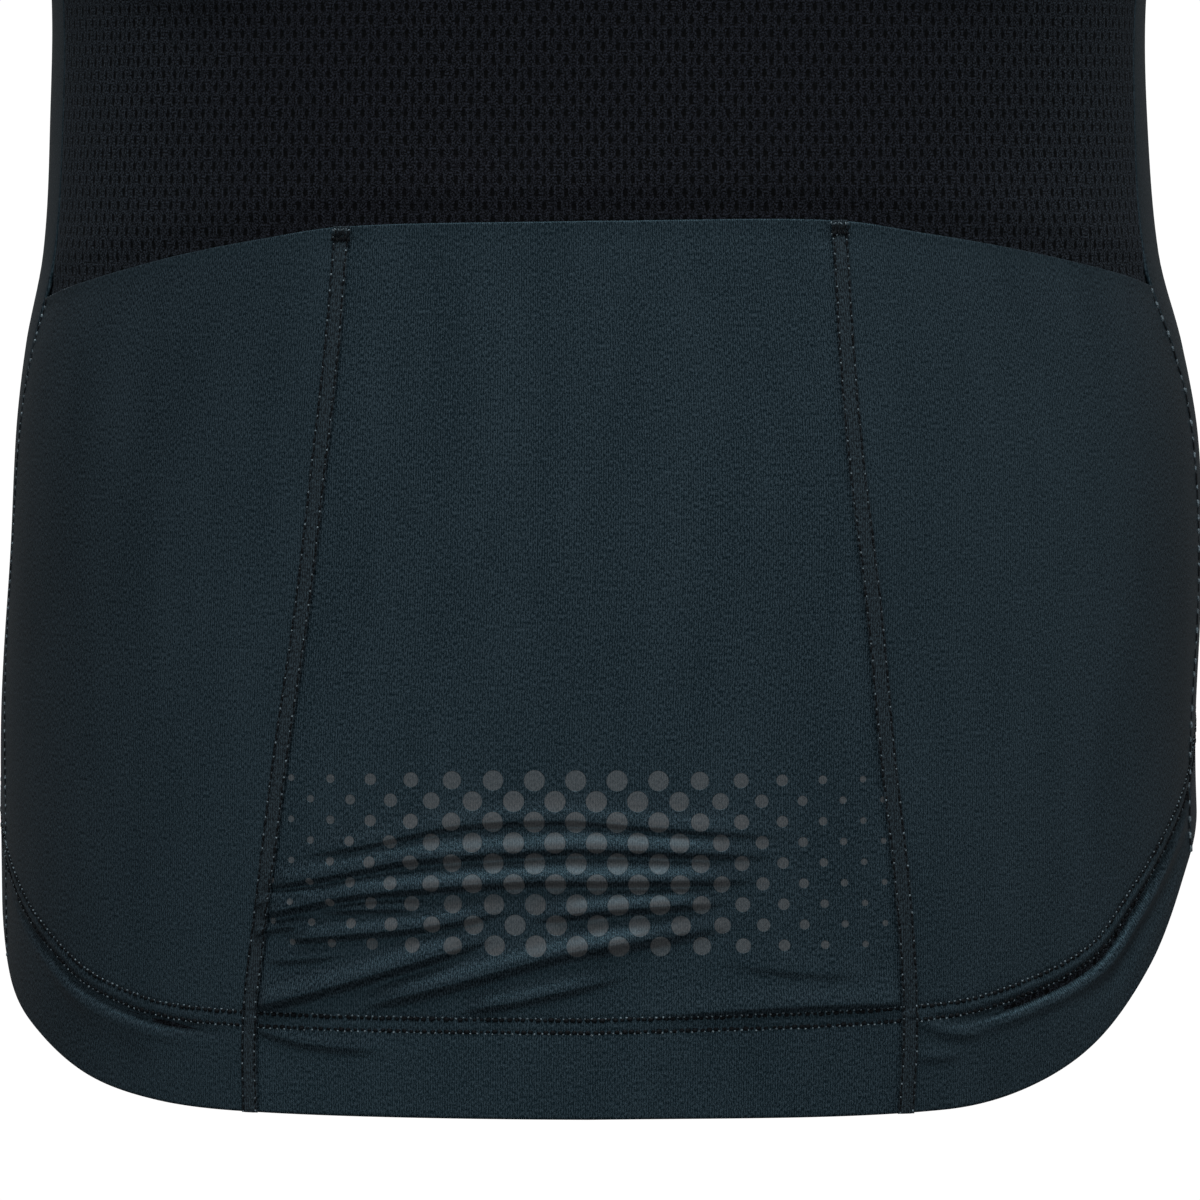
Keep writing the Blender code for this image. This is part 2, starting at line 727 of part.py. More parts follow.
def zip_chain():
    across = (-CHAIN_HALF_WIDTH, CHAIN_HALF_WIDTH)
    end_short = SLIDER_DROP + BRIDGE_LENGTH + SEAM_GAP
    return zip_strip("zip_chain", across, CHAIN_OUT, CHAIN_THICK, "zip_black", end_short)


# Slider and pull tab. Their own directions are x across, y outward from the cloth and z up the zip.


def rounded(corners):
    """An outline through corners of (first, second, radius), each turned into an arc."""
    points = []
    for i, (*corner, radius) in enumerate(corners):
        corner = Vector(corner)
        before = (Vector(corners[i - 1][:2]) - corner).normalized()
        after = (Vector(corners[(i + 1) % len(corners)][:2]) - corner).normalized()
        half_angle = before.angle(after) / 2
        centre = corner + (before + after).normalized() * radius / math.sin(half_angle)
        start = corner + before * radius / math.tan(half_angle) - centre
        turn = (corner + after * radius / math.tan(half_angle) - centre).angle_signed(start)
        for k in range(ARC_STEPS + 1):
            spun = start.copy()
            spun.rotate(Matrix.Rotation(turn * k / ARC_STEPS, 2))
            points.append(centre + spun)
    return points


def extruded(name, outline, across, low, high, finish):
    """A solid whose outline lies in the plane square to one direction, x or y, from low to high along it."""
    shaped = bmesh.new()
    corners = [(low, *p) if across == "x" else (p[0], low, p[1]) for p in outline]
    face = shaped.faces.new([shaped.verts.new(corner) for corner in corners])
    grown = bmesh.ops.extrude_face_region(shaped, geom=[face])
    moved = [part for part in grown["geom"] if isinstance(part, bmesh.types.BMVert)]
    direction = Vector((1, 0, 0)) if across == "x" else Vector((0, 1, 0))
    bmesh.ops.translate(shaped, verts=moved, vec=direction * (high - low))
    mesh = bpy.data.meshes.new(name)
    shaped.to_mesh(mesh)
    shaped.free()
    face_out(mesh)
    mesh.shade_smooth()
    mesh.set_sharp_from_angle(angle=SHARP_ANGLE)
    return new_object(name, mesh, finish)


def rectangle(low_x, low_z, high_x, high_z):
    return [(low_x, low_z), (high_x, low_z), (high_x, high_z), (low_x, high_z)]


def combine(first, others, operation, frame):
    """The first solid with the others joined to it or cut from it, all standing in one frame."""
    first.matrix_world = frame
    for other in others:
        other.matrix_world = frame
        other.hide_render = True
        other.display_type = "WIRE"
        step = first.modifiers.new(other.name, "BOOLEAN")
        step.operation = operation
        step.object = other
    return first


def slider_frame():
    """Where the slider's top lies on the zip, with its own three directions."""
    below, point = zip_column(0.0, 0.0)[-2:]
    up = (point - below).normalized()
    across, outwards = Vector((-1.0, 0.0, 0.0)), Vector((0.0, -up.z, up.y))
    turned = Matrix((across, outwards, up)).transposed().to_4x4()
    return Matrix.Translation(point - up * SLIDER_DROP) @ turned


def plate_outline():
    top, bottom = (width / 2 for width in SLIDER_WIDTHS)
    radius = SLIDER_PLATE
    corners = ((-top, 0.0), (-bottom, -SLIDER_LENGTH), (bottom, -SLIDER_LENGTH), (top, 0.0))
    return rounded([(*corner, radius) for corner in corners])


def zip_slider():
    """Two plates round the chain, the bridge between them and the bail that holds the pull tab."""
    front_low = CHAIN_OUT + SEAM_GAP
    back_high = CHAIN_OUT - CHAIN_THICK - SEAM_GAP
    front = extruded("zip_slider", plate_outline(), "y", front_low, slider_face(), "zip_metal")
    back = extruded("slider_back", plate_outline(), "y", back_high - SLIDER_PLATE, back_high, "zip_metal")
    half = BRIDGE_WIDTH / 2
    stem = rectangle(-half, -BRIDGE_LENGTH, half, -DIP)
    bridge = extruded("slider_bridge", stem, "y", back_high - DIP, front_low + DIP, "zip_metal")
    foot, middle = slider_face() - DIP, -SLIDER_LENGTH / 2
    inside, outside = BAIL_LENGTH / 2, BAIL_LENGTH / 2 + BAIL_BAR
    ceiling, roof = slider_face() + BAIL_HEIGHT, slider_face() + BAIL_HEIGHT + BAIL_BAR
    arch = [(foot, middle - outside), (roof, middle - outside), (roof, middle + outside)]
    arch += [(foot, middle + outside), (foot, middle + inside), (ceiling, middle + inside)]
    arch += [(ceiling, middle - inside), (foot, middle - inside)]
    bail = extruded("slider_bail", arch, "x", -BAIL_WIDTH / 2, BAIL_WIDTH / 2, "zip_metal")
    return combine(front, (back, bridge, bail), "UNION", slider_frame())


def slider_face():
    """How far outside the cloth the slider's front plate has its face."""
    return CHAIN_OUT + SEAM_GAP + SLIDER_PLATE


def zip_pull():
    """The tab about its hinge line: a cross bar inside the bail, two arms past it and a tapered blade."""
    top, bottom = (width / 2 for width in PULL_WIDTHS)
    thick = PULL_THICK / 2
    corners = ((-top, thick), (-bottom, -PULL_LENGTH), (bottom, -PULL_LENGTH), (top, thick))
    end_radius = bottom * PULL_END_ROUNDING
    radii = (PULL_THICK, end_radius, end_radius, PULL_THICK)
    outline = rounded([(*corner, radius) for corner, radius in zip(corners, radii)])
    tab = extruded("zip_pull", outline, "y", -thick, thick, "zip_metal")
    blade_top = -BAIL_LENGTH / 2 - BAIL_BAR - PULL_CLEARANCE
    window = rectangle(PULL_ARM - top, blade_top, top - PULL_ARM, -thick)
    slot = extruded("pull_slot", window, "y", -PULL_THICK, PULL_THICK, "zip_metal")
    hinge = Matrix.Translation((0.0, slider_face() + BAIL_HEIGHT / 2, -SLIDER_LENGTH / 2))
    return combine(tab, (slot,), "DIFFERENCE", slider_frame() @ hinge)


def main():
    for thing in list(bpy.data.objects):
        bpy.data.objects.remove(thing)
    back_panel()
    centre_pocket()
    for side in (1, -1):
        front_panel(side)
        side_pocket(side)
        seam_strip(side)
        sleeve(side)
        zip_tape(side)
    collar()
    zip_chain()
    zip_slider()
    zip_pull()


main()
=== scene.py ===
"""The looks of a short-sleeved cycling jersey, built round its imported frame.

Each cloth solid of the frame is replaced by a finer wall on the same body surface, with creases, rounded edges and
sewing. A place on that surface is a turn and a level, as in the part's own source: the turn is an angle round the
body in degrees, 0 at the centre back, positive towards the wearer's left, 180 at the centre front, and the level
is a height up to the armpit and then a run over the shoulder. Everything is in metres, +Z up, the front faces -Y.
"""

import math
from collections import namedtuple

import bpy
import numpy as np
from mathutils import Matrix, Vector


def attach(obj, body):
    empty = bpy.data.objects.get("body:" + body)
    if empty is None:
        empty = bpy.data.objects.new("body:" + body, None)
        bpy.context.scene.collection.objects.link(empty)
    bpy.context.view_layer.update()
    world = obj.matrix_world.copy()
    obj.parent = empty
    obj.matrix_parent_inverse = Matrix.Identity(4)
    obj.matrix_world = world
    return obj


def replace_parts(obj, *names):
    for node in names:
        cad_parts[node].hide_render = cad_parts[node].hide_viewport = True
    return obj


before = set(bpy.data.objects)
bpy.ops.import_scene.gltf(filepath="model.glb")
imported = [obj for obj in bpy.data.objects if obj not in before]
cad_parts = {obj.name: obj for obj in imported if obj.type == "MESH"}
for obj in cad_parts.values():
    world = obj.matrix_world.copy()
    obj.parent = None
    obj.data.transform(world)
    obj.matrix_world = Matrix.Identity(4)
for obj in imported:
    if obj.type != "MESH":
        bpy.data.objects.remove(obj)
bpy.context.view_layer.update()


def table(columns, *rows):
    """Rows of numbers in named columns."""
    row = namedtuple("Row", columns)
    return [row(*numbers) for numbers in rows]


# Cloth
WALL = 0.0014
POCKET_WALL = 0.0012
POCKET_CLEARANCE = 0.0004
STRIP_WALL = 0.0007
SEAM_GAP = 0.0003

# Body: half widths and depths of each section, and the exponent that squares its corners
SECTIONS = table(
    "level half_width front back squareness lean",
    (-0.72, 0.1655, 0.108, 0.113, 2.3, -0.0001), (-0.66, 0.1673, 0.11, 0.116, 2.3, -0.0003),
    (-0.6, 0.1669, 0.111, 0.116, 2.3, 0.0003), (-0.55, 0.1665, 0.11, 0.112, 2.3, -0.0015),
    (-0.515, 0.1651, 0.108, 0.107, 2.3, -0.0016), (-0.49, 0.1613, 0.107, 0.103, 2.3, -0.001),
    (-0.465, 0.1555, 0.105, 0.099, 2.3, -0.0002), (-0.43, 0.153, 0.104, 0.095, 2.3, 0.0002),
    (-0.39, 0.1524, 0.105, 0.094, 2.35, 0), (-0.34, 0.158, 0.109, 0.099, 2.45, 0),
    (-0.27, 0.169, 0.115, 0.108, 2.6, 0), (-0.21, 0.1765, 0.113, 0.113, 2.8, 0),
    (-0.15, 0.183, 0.102, 0.112, 3.1, 0), (-0.09, 0.192, 0.084, 0.104, 3.4, 0),
    (-0.04, 0.202, 0.074, 0.09, 3.6, 0), (0.04, 0.205, 0.068, 0.08, 3.8, 0),
)
CAP_BASE = -0.210
CAP_RUN = 0.330
CAP_POWER = 0.8
SHOULDER_TOP = CAP_BASE + CAP_RUN
SHOULDER_SLOPE = math.tan(math.radians(21.0))
RIDGE_ROUND = 0.040
NECK_HALF_WIDTH = 0.070
SHOULDER_HALF_WIDTH = 0.200
RIDGE_HALF_WIDTH = 0.205
NECK_TURN = math.degrees(math.asin(NECK_HALF_WIDTH / RIDGE_HALF_WIDTH))
SHOULDER_TURN = math.degrees(math.asin(SHOULDER_HALF_WIDTH / RIDGE_HALF_WIDTH))
BACK_NECK_LEVEL = 0.006
FRONT_NECK_LEVEL = -0.098
ARMPIT_LEVEL = -0.205
ARMHOLE_SCOOP = {"back": 22.0, "front": 24.0}
ARM_TILT = math.radians(25.0)
ARM_ROOT = np.array((0.185, 0.0, -0.100))
SLEEVE_REACH = 0.235
CUFF_RADII = (0.050, 0.055)
SLEEVE_GAP = 0.0006
SLEEVE_TOP_START = np.array((0.94, 0.0, -0.34))
SLEEVE_UNDER_START = np.array((0.80, 0.0, -0.60))
SLEEVE_STRAIGHTNESS = 0.8
SLEEVE_RISE_STEPS = 81
SLEEVE_SOFT_STEPS = (6, 18)  # neighbours each way that a point is evened out over, at the underside and at the top
SLEEVE_TOP_POWER = 5
SLEEVE_SOFT_FADES = (0.08, 0.6)  # shares of the length, from the armhole and from the cuff

# Hem, seams and pockets, as heights above HEM_BOTTOM, levels, turns and widths
HEM_BOTTOM = -0.6947
HEM = table(
    "turn left right",
    (0, 0, 0), (35, 0.0003, 0.0013), (45, 0.0018, 0.006), (55, 0.0064, 0.017), (65, 0.0157, 0.0361),
    (75, 0.0274, 0.059), (83, 0.045, 0.07), (92, 0.066, 0.08), (106, 0.088, 0.092), (125, 0.1, 0.1),
    (180, 0.104, 0.104),
)
HEM_STITCHES = table(
    "turn left right",
    (0, 0.0234, 0.0234), (35, 0.0238, 0.0266), (45, 0.0254, 0.0318), (55, 0.0318, 0.041), (62, 0.04, 0.0545),
    (70, 0.0502, 0.069), (76, 0.059, 0.079), (83, 0.069, 0.0915), (92, 0.0895, 0.1035), (106, 0.1115, 0.1155),
    (125, 0.1232, 0.1232), (180, 0.1272, 0.1272),
)
HEM_ROWS_APART = 0.0033
HEM_DEPTH = 0.0255
SIDE_SEAM_TURN = 80.0
POCKET_SEAM_TURN = 28.0
SIDE_SEAM = table(
    "level left right",
    (-0.72, 79, 79), (-0.62, 79, 79), (-0.56, 81.2, 82), (-0.505, 78.2, 81), (-0.475, 74.2, 75.5),
    (-0.42, 74.2, 76), (-0.32, 79, 80), (-0.205, 90, 90),
)
POCKET_TOP = table(
    "turn left right",
    (0, -0.4555, -0.4555), (25, -0.457, -0.4553), (35, -0.4605, -0.4587), (45, -0.4645, -0.4623),
    (55, -0.469, -0.4661), (65, -0.4732, -0.4697), (80, -0.4782, -0.4744), (180, -0.4782, -0.4744),
)
POCKET_SEAM = table(
    "level left right",
    (-0.7, 0.0906, 0.0846), (-0.668, 0.0906, 0.086), (-0.635, 0.0865, 0.084), (-0.6, 0.082, 0.0802),
    (-0.56, 0.0764, 0.0764), (-0.52, 0.0718, 0.0714), (-0.49, 0.0686, 0.0688), (-0.455, 0.0662, 0.0668),
)
SIDES = {1: "left", -1: "right"}
HIP_RADIUS = 0.1655  # of the body round the pockets
STRIP_WIDTH = 0.0050
BACK_HEM_SETBACK = 0.0020
SINK_RUN = 0.010
SINK_SPREAD = 1.6  # degrees that the sunk back runs on under the fronts

# Collar and zip
COLLAR_HEIGHT = 0.038
COLLAR_SIDE_DROP = 0.007
COLLAR_SIDE_REACH = 0.028
COLLAR_TAPER = 0.88
COLLAR_LEAN = np.array((0.0, -0.10, 1.0)) / math.hypot(0.10, 1.0)
ZIP_HALF_OPENING = 0.0050
CHAIN_OUT = -0.0012
CHAIN_THICK = 0.0016

# Creases: soft ridges of cloth. Each has its rise, the reach of its gentle upper side and its steep lower one, the
# shares of its length over which it fades in and out, and the points (x, z) that its foot runs through, listed from
# the wearer's left. Its crest lies just above its foot. Four creases of the back and the fronts are listed from the
# right: each of those runs level, at a height of its own, and not through its points
Crease = namedtuple("Crease", "rise above below fade_in fade_out foot")


def creases(*rows):
    return [Crease(*row[:5], np.array(row[5:])) for row in rows]


POCKET_CREASES = creases(
    (0.0016, 0.0038, 0.001, 0.16, 0.22,
     (0.084, -0.6266), (0.0604, -0.6224), (0.0344, -0.6168), (0.006, -0.6152), (-0.0132, -0.6166), (-0.06, -0.62)),
    (0.0023, 0.0036, 0.0011, 0.07, 0.22,
     (0.089, -0.6345), (0.0685, -0.6306), (0.0462, -0.626), (0.006, -0.6229), (-0.0076, -0.623), (-0.056, -0.625)),
    (0.0025, 0.0036, 0.001, 0.06, 0.2,
     (0.0893, -0.6424), (0.0777, -0.6393), (0.0599, -0.6354), (0.0155, -0.6314), (-0.0037, -0.6313), (-0.05, -0.631)),
    (0.0013, 0.0018, 0.0009, 0.3, 0.4, (0.074, -0.6404), (0.06, -0.6394), (0.038, -0.6386)),
    (0.0023, 0.0034, 0.0011, 0.3, 0.3,
     (0.018, -0.6418), (-0.0037, -0.6393), (-0.018, -0.6382), (-0.04, -0.6369)),
    (0.0019, 0.003, 0.0011, 0.12, 0.35,
     (0.082, -0.6482), (0.065, -0.6464), (0.0402, -0.6434), (0.014, -0.6376)),
    (0.0016, 0.0033, 0.0016, 0.4, 0.4,
     (0.006, -0.6518), (-0.01, -0.6486), (-0.0225, -0.6461), (-0.042, -0.6428)),
    (0.0029, 0.0037, 0.0013, 0.05, 0.35, (0.0895, -0.6668), (0.07, -0.6612), (0.047, -0.654), (0.02, -0.6452)),
    (0.0024, 0.0034, 0.0015, 0.22, 0.3, (0.064, -0.6668), (0.031, -0.658), (0.008, -0.6515), (-0.023, -0.6452)),
    (0.0016, 0.0025, 0.0012, 0.22, 0.5,
     (0.036, -0.6666), (0.0174, -0.6634), (-0.0028, -0.6586), (-0.018, -0.6543)),
    (0.0017, 0.0047, 0.0009, 0.35, 0.08,
     (-0.008, -0.6684), (-0.0408, -0.6659), (-0.0648, -0.6648), (-0.086, -0.665)),
    (0.0012, 0.0018, 0.0011, 0.06, 0.45, (0.0895, -0.6722), (0.0759, -0.6757), (0.05, -0.6772)),
    (0.0011, 0.0016, 0.0009, 0.08, 0.45, (0.0892, -0.647), (0.083, -0.645), (0.072, -0.6436)),
    (0.0009, 0.0015, 0.0009, 0.08, 0.45, (0.0892, -0.639), (0.082, -0.6366), (0.07, -0.6352)),
    (0.0008, 0.003, 0.0012, 0.25, 0.5, (0.0885, -0.654), (0.074, -0.653), (0.056, -0.6496)),
    (0.0009, 0.0044, 0.0018, 0.5, 0.3, (-0.03, -0.652), (-0.055, -0.656), (-0.078, -0.6576)),
)
SIDE_CREASES = creases(
    (0.001, 0.0019, 0.001, 0.08, 0.4, (-0.087, -0.669), (-0.095, -0.6728), (-0.1069, -0.6748)),
    (0.0007, 0.0018, 0.0009, 0.08, 0.4, (-0.087, -0.679), (-0.093, -0.6797), (-0.101, -0.6797)),
    (0.0006, 0.0059, 0.0033, 0.3, 0.3, (0.148, -0.664), (0.133, -0.675), (0.112, -0.6808)),
)
BACK_CREASES = creases(
    (0.0022, 0.01, 0.007, 0.15, 0.6, (0.16, -0.205), (0.128, -0.235), (0.09, -0.252)),
    (0.0018, 0.009, 0.006, 0.15, 0.6, (0.158, -0.232), (0.13, -0.268), (0.098, -0.29)),
    (0.0022, 0.01, 0.007, 0.15, 0.6, (-0.16, -0.208), (-0.124, -0.242), (-0.084, -0.262)),
    (0.0016, 0.009, 0.006, 0.15, 0.6, (-0.158, -0.24), (-0.132, -0.276), (-0.104, -0.302)),
    (0.0016, 0.011, 0.007, 0.3, 0.45, (0.146, -0.352), (0.105, -0.371), (0.052, -0.377)),
    (0.0014, 0.009, 0.006, 0.3, 0.45, (0.142, -0.386), (0.112, -0.396), (0.07, -0.399)),
    (0.0016, 0.011, 0.007, 0.45, 0.3, (-0.04, -0.36), (-0.098, -0.362), (-0.146, -0.344)),
    (0.0014, 0.008, 0.006, 0.45, 0.3, (-0.066, -0.394), (-0.11, -0.392), (-0.144, -0.377)),
)
FRONT_CREASES = creases(
    (0.0032, 0.009, 0.004, 0.15, 0.55, (0.16, -0.206), (0.122, -0.228), (0.078, -0.232)),
    (0.0026, 0.008, 0.004, 0.15, 0.55, (0.156, -0.196), (0.118, -0.196), (0.076, -0.178)),
    (0.0029, 0.009, 0.004, 0.15, 0.55, (-0.158, -0.209), (-0.116, -0.233), (-0.07, -0.24)),
    (0.0026, 0.008, 0.004, 0.15, 0.55, (-0.157, -0.194), (-0.124, -0.19), (-0.088, -0.17)),
    (0.003, 0.008, 0.003, 0.25, 0.4, (0.14, -0.378), (0.094, -0.402), (0.036, -0.412)),
    (0.0026, 0.007, 0.0028, 0.25, 0.4, (0.138, -0.414), (0.088, -0.436), (0.046, -0.442)),
    (0.0032, 0.008, 0.003, 0.4, 0.25, (-0.03, -0.392), (-0.088, -0.396), (-0.142, -0.366)),
    (0.0024, 0.007, 0.0026, 0.4, 0.25, (-0.048, -0.428), (-0.096, -0.43), (-0.138, -0.406)),
    (0.0028, 0.006, 0.0024, 0.3, 0.45, (0.128, -0.536), (0.08, -0.552), (0.026, -0.549)),
    (0.003, 0.006, 0.0024, 0.35, 0.3, (-0.014, -0.541), (-0.062, -0.553), (-0.132, -0.54)),
    (0.0022, 0.005, 0.0022, 0.35, 0.45, (0.1, -0.515), (0.058, -0.524), (0.018, -0.52)),
    (0.0018, 0.005, 0.0022, 0.4, 0.4, (-0.04, -0.512), (-0.078, -0.52), (-0.112, -0.514)),
    (0.0018, 0.012, 0.009, 0.25, 0.45, (0.07, -0.03), (0.046, -0.08), (0.02, -0.15)),
    (0.0016, 0.012, 0.009, 0.45, 0.25, (-0.022, -0.164), (-0.05, -0.086), (-0.072, -0.034)),
)
# Creases along the hem\'s lower row of stitches, and of a sleeve, up the armhole and down the arm
ROW_CREASES = table(
    "from_turn to_turn offset rise reach",
    (31, 76, -0.0021, -0.0016, 0.0012), (36, 68, -0.0048, 0.0006, 0.0018), (-30, -84, -0.002, -0.002, 0.0013),
    (-33, -74, -0.0046, 0.0008, 0.0016), (-50, -82, -0.0088, -0.0009, 0.0026),
    (98, 168, -0.0024, -0.0009, 0.0014), (-104, -160, -0.0026, -0.001, 0.0014),
)
SLEEVE_CREASES = table(
    "up slant start run rise reach",
    (0.06, 1.1, 0.004, 0.07, 0.0024, 0.006), (0.15, 1.35, 0.006, 0.1, 0.0024, 0.0065),
    (0.25, 1.5, 0.012, 0.13, 0.002, 0.007), (0.36, 1.2, 0.03, 0.11, 0.0017, 0.007),
    (0.5, 0.7, 0.06, 0.095, 0.0014, 0.008),
)

# Sewing
STITCH_SINK = 0.00030  # how far a row of stitches pulls the cloth in
STITCH_REACH = 0.0009
HEM_BEAD = 0.00013  # height of the beaded ridge between the hem's rows
POCKET_RIM = (0.00042, 0.0012)  # height and reach
RIM_GROOVE = (0.00014, 0.0032, 0.0010)  # depth, how far below the pocket's edge, and reach
SEAM_PULL = (0.0007, 0.0055, 0.0030, 0.0050)  # depth, reach across, how far below the pocket's edge, and reach there
STRIP_DRAW = (0.00022, 0.16)  # depth along the strips' rows, and reach as a share of half their width
ZIP_RIPPLE = (0.0006, 0.037, 0.026)  # height, pitch up the zip and reach beside it
Stitch = namedtuple("Stitch", "pitch length width start")  # start is a share of the pitch
# The holes are rows of dark bars: the thread where a stitch sinks in, and painted shade of the groove it sinks into
HEM_HOLE = Stitch(0.0019, 0.0016, 0.00115, 0.5)
HEM_STITCH = Stitch(0.0019, 0.0006, 0.00050, 0.0)
TICK_OUT = 0.00045  # how far the hem's light stitches stand outside its rows
STRIP_HOLE = Stitch(0.0021, 0.0019, 0.00060, 0.5)
STRIP_STITCH = Stitch(0.0042, 0.0006, 0.00048, 0.0)
SIDE_STITCH = {1: Stitch(0.0026, 0.0011, 0.0007, 0.0), -1: Stitch(0.0044, 0.0021, 0.0010, 0.0)}
SIDE_HOLE = {1: Stitch(0.0026, 0.0023, 0.0010, 0.5), -1: Stitch(0.0044, 0.0040, 0.0011, 0.5)}
PLAIN_STITCH = Stitch(0.0024, 0.0015, 0.00050, 0.5)
STRIP_STITCH_INSET = 0.0005
CUFF_STITCH_UP = 0.0215
SEAM_STITCH_UP = 0.0030  # from the armhole's and the collar's seams
COLLAR_STITCH_IN = 0.0032  # from the collar's top
SHOULDER_STITCH_DOWN = 0.006
SIDE_ROW_IN = 0.7  # degrees inside a side pocket's outer edge
ROW_SINK = 0.0002  # how deep the rows along the strips and the side seams lie
EDGE_STITCH_IN = 0.0038  # from the zip's edge, and from the shoulder seam
SEAM_TAPE = (0.0045, 0.0004, 0.0002)  # inside the neck and armholes: reach each way, thickness and gap to the cloth
BARTACK = (0.0052, 0.0030, 0.0008)  # width, height and how far below the pocket's edge

# Knits
WALE_PITCH = 0.00065
MESH_PITCH = (0.0043, 0.0071)  # across, and between rows that stand alike; the rows between them are staggered
MESH_HOLE = (0.00078, 0.00145)  # half width and half height

# Reflective dots on the centre pocket: rows of discs that grow smaller towards both ends
DOT_PITCH = (0.0110, 0.0110)
DOT_FIELD = (0.0025, -0.6260, 0.0850, 0.0250)  # centre across and up, half width and half height
DOT_RADII = (0.0028, 0.0008)
DOT_BLUR = 0.00008

# Zip teeth
ZIP_BACKING = 0.0064
TOOTH_PITCH = 0.0015
TOOTH = (0.0027, 0.00085)  # reach across the chain, and thickness

# Grids
EDGE_STEPS = (0.00012, 0.0004, 0.0009)  # rows close to each edge, which round it
FINEST, FINE, COARSE = 0.0006, 0.0011, 0.0032


# The body surface


def blend(low, high, share):
    return low + (high - low) * share


def smooth_step(share):
    share = np.clip(share, 0.0, 1.0)
    return share * share * (3 - 2 * share)


def swing(share):
    """From 0 to 1 along half a wave."""
    return 0.5 - 0.5 * np.cos(np.pi * share)


def bell(off, reach):
    return np.exp(-((off / reach) ** 2))


def unit(vectors):
    return vectors / np.maximum(np.linalg.norm(vectors, axis=-1, keepdims=True), 1e-12)


def spread(*values):
    """Numbers or arrays as arrays of one shape."""
    return np.broadcast_arrays(*(np.asarray(value, float) for value in values))


def wrapped(turn):
    """The same turn, from -180 to 180."""
    return (turn + 180.0) % 360.0 - 180.0


def curve(keys, values, at):
    """A smooth curve through values at rising keys."""
    low = np.maximum(np.arange(len(keys)) - 1, 0)
    high = np.minimum(np.arange(len(keys)) + 1, len(keys) - 1)
    slopes = (values[high] - values[low]) / (keys[high] - keys[low])
    at = np.clip(at, keys[0], keys[-1])
    i = np.clip(np.searchsorted(keys, at, side="right") - 1, 0, len(keys) - 2)
    span = keys[i + 1] - keys[i]
    t = (at - keys[i]) / span
    return (
        blend(values[i], values[i + 1], t * t * (3 - 2 * t))
        + (t**3 - 2 * t * t + t) * span * slopes[i]
        + (t**3 - t * t) * span * slopes[i + 1]
    )


def smooth_at(rows, column, at):
    """A column of a table at any places along its first column."""
    keys = np.array([row[0] for row in rows], float)
    return curve(keys, np.array([getattr(row, column) for row in rows], float), at)


def ridge_height(x):
    return SHOULDER_SLOPE * (math.hypot(NECK_HALF_WIDTH, RIDGE_ROUND) - np.hypot(x, RIDGE_ROUND))


def surface(turn, level):
    """Points of the body surface at turns and levels."""
    turn, level = spread(turn, level)
    across = np.sin(np.radians(turn))
    rise = np.pi / 2 * np.clip((level - CAP_BASE) / CAP_RUN, 0.0, 1.0)
    ridge = ridge_height(across * RIDGE_HALF_WIDTH)
    height = np.where(level > CAP_BASE, CAP_BASE + (ridge - CAP_BASE) * np.sin(rise), level)
    closing = np.clip(np.cos(rise), 0.0, None) ** CAP_POWER
    behind = np.cos(np.radians(turn)) > 0
    depth = np.where(behind, smooth_at(SECTIONS, "back", height), -smooth_at(SECTIONS, "front", height))
    power = smooth_at(SECTIONS, "squareness", height)
    y = depth * closing * np.clip(1.0 - np.abs(across) ** power, 0.0, None) ** (1.0 / power)
    x = smooth_at(SECTIONS, "half_width", height) * across + smooth_at(SECTIONS, "lean", height)
    return np.stack((x, y, height), -1)


def outward(turn, level):
    """Outward normals of the body surface."""
    turn, level = spread(turn, level)
    step, rise = 0.5, 0.001
    top = np.minimum(level + rise, SHOULDER_TOP)
    at = np.where(level > SHOULDER_TOP - rise, SHOULDER_TOP, level)
    round_it = surface(turn + step, at) - surface(turn - step, at)
    up = surface(turn, top) - surface(turn, top - 2 * rise)
    return unit(np.cross(up, round_it))


def turn_at(x, height):
    """The turn, in the back half, of the place at that x and height."""
    across = (x - smooth_at(SECTIONS, "lean", height)) / smooth_at(SECTIONS, "half_width", height)
    return np.degrees(np.arcsin(np.clip(across, -1.0, 1.0)))


def lengths(points):
    """Distance along each row of points from its first one."""
    run = np.linalg.norm(np.diff(points, axis=-2), axis=-1)
    return np.concatenate((np.zeros_like(run[..., :1]), np.cumsum(run, -1)), -1)


def lengths_up(points):
    """Distance up each column of a grid of points from its first one."""
    return lengths(points.swapaxes(0, 1)).T


def points_at(run, values, where):
    """Points or normals at distances along a row of them."""
    return np.stack([np.interp(where, run, values[:, k]) for k in range(3)], -1)


def turn_over(width):
    """The turn that a small width of cloth takes up at the pockets."""
    return math.degrees(width / HIP_RADIUS)


ROUND_TURNS = np.linspace(-180.0, 180.0, 721)
ROUND_LENGTHS = lengths(surface(ROUND_TURNS, -0.600))
ROUND_LENGTHS -= ROUND_LENGTHS[360]
RISE_LEVELS = np.linspace(-0.720, SHOULDER_TOP, 421)
RISE_LENGTHS = lengths(surface(15.0, RISE_LEVELS))


def cloth_place(turn, level):
    """Real distances along the knit, round from the centre back and up from the hem."""
    turn, level = np.broadcast_arrays(turn, level)
    turn = wrapped(turn)
    return np.stack((np.interp(turn, ROUND_TURNS, ROUND_LENGTHS), np.interp(level, RISE_LEVELS, RISE_LENGTHS)), -1)


# The lines that the panels meet on, numbered 0 at the hem, 1 its seam, 2 the pockets' top, 3 the armpit and 4 the
# neckline and shoulder seam, and the columns, from 0 at the centre through 1 to 2 at the side


def sided(rows, turn):
    """A table with a column for each side, at any turn."""
    left, right = (smooth_at(rows, word, abs(wrapped(turn))) for word in ("left", "right"))
    return np.where(np.asarray(turn) % 360.0 < 180.0, left, right)


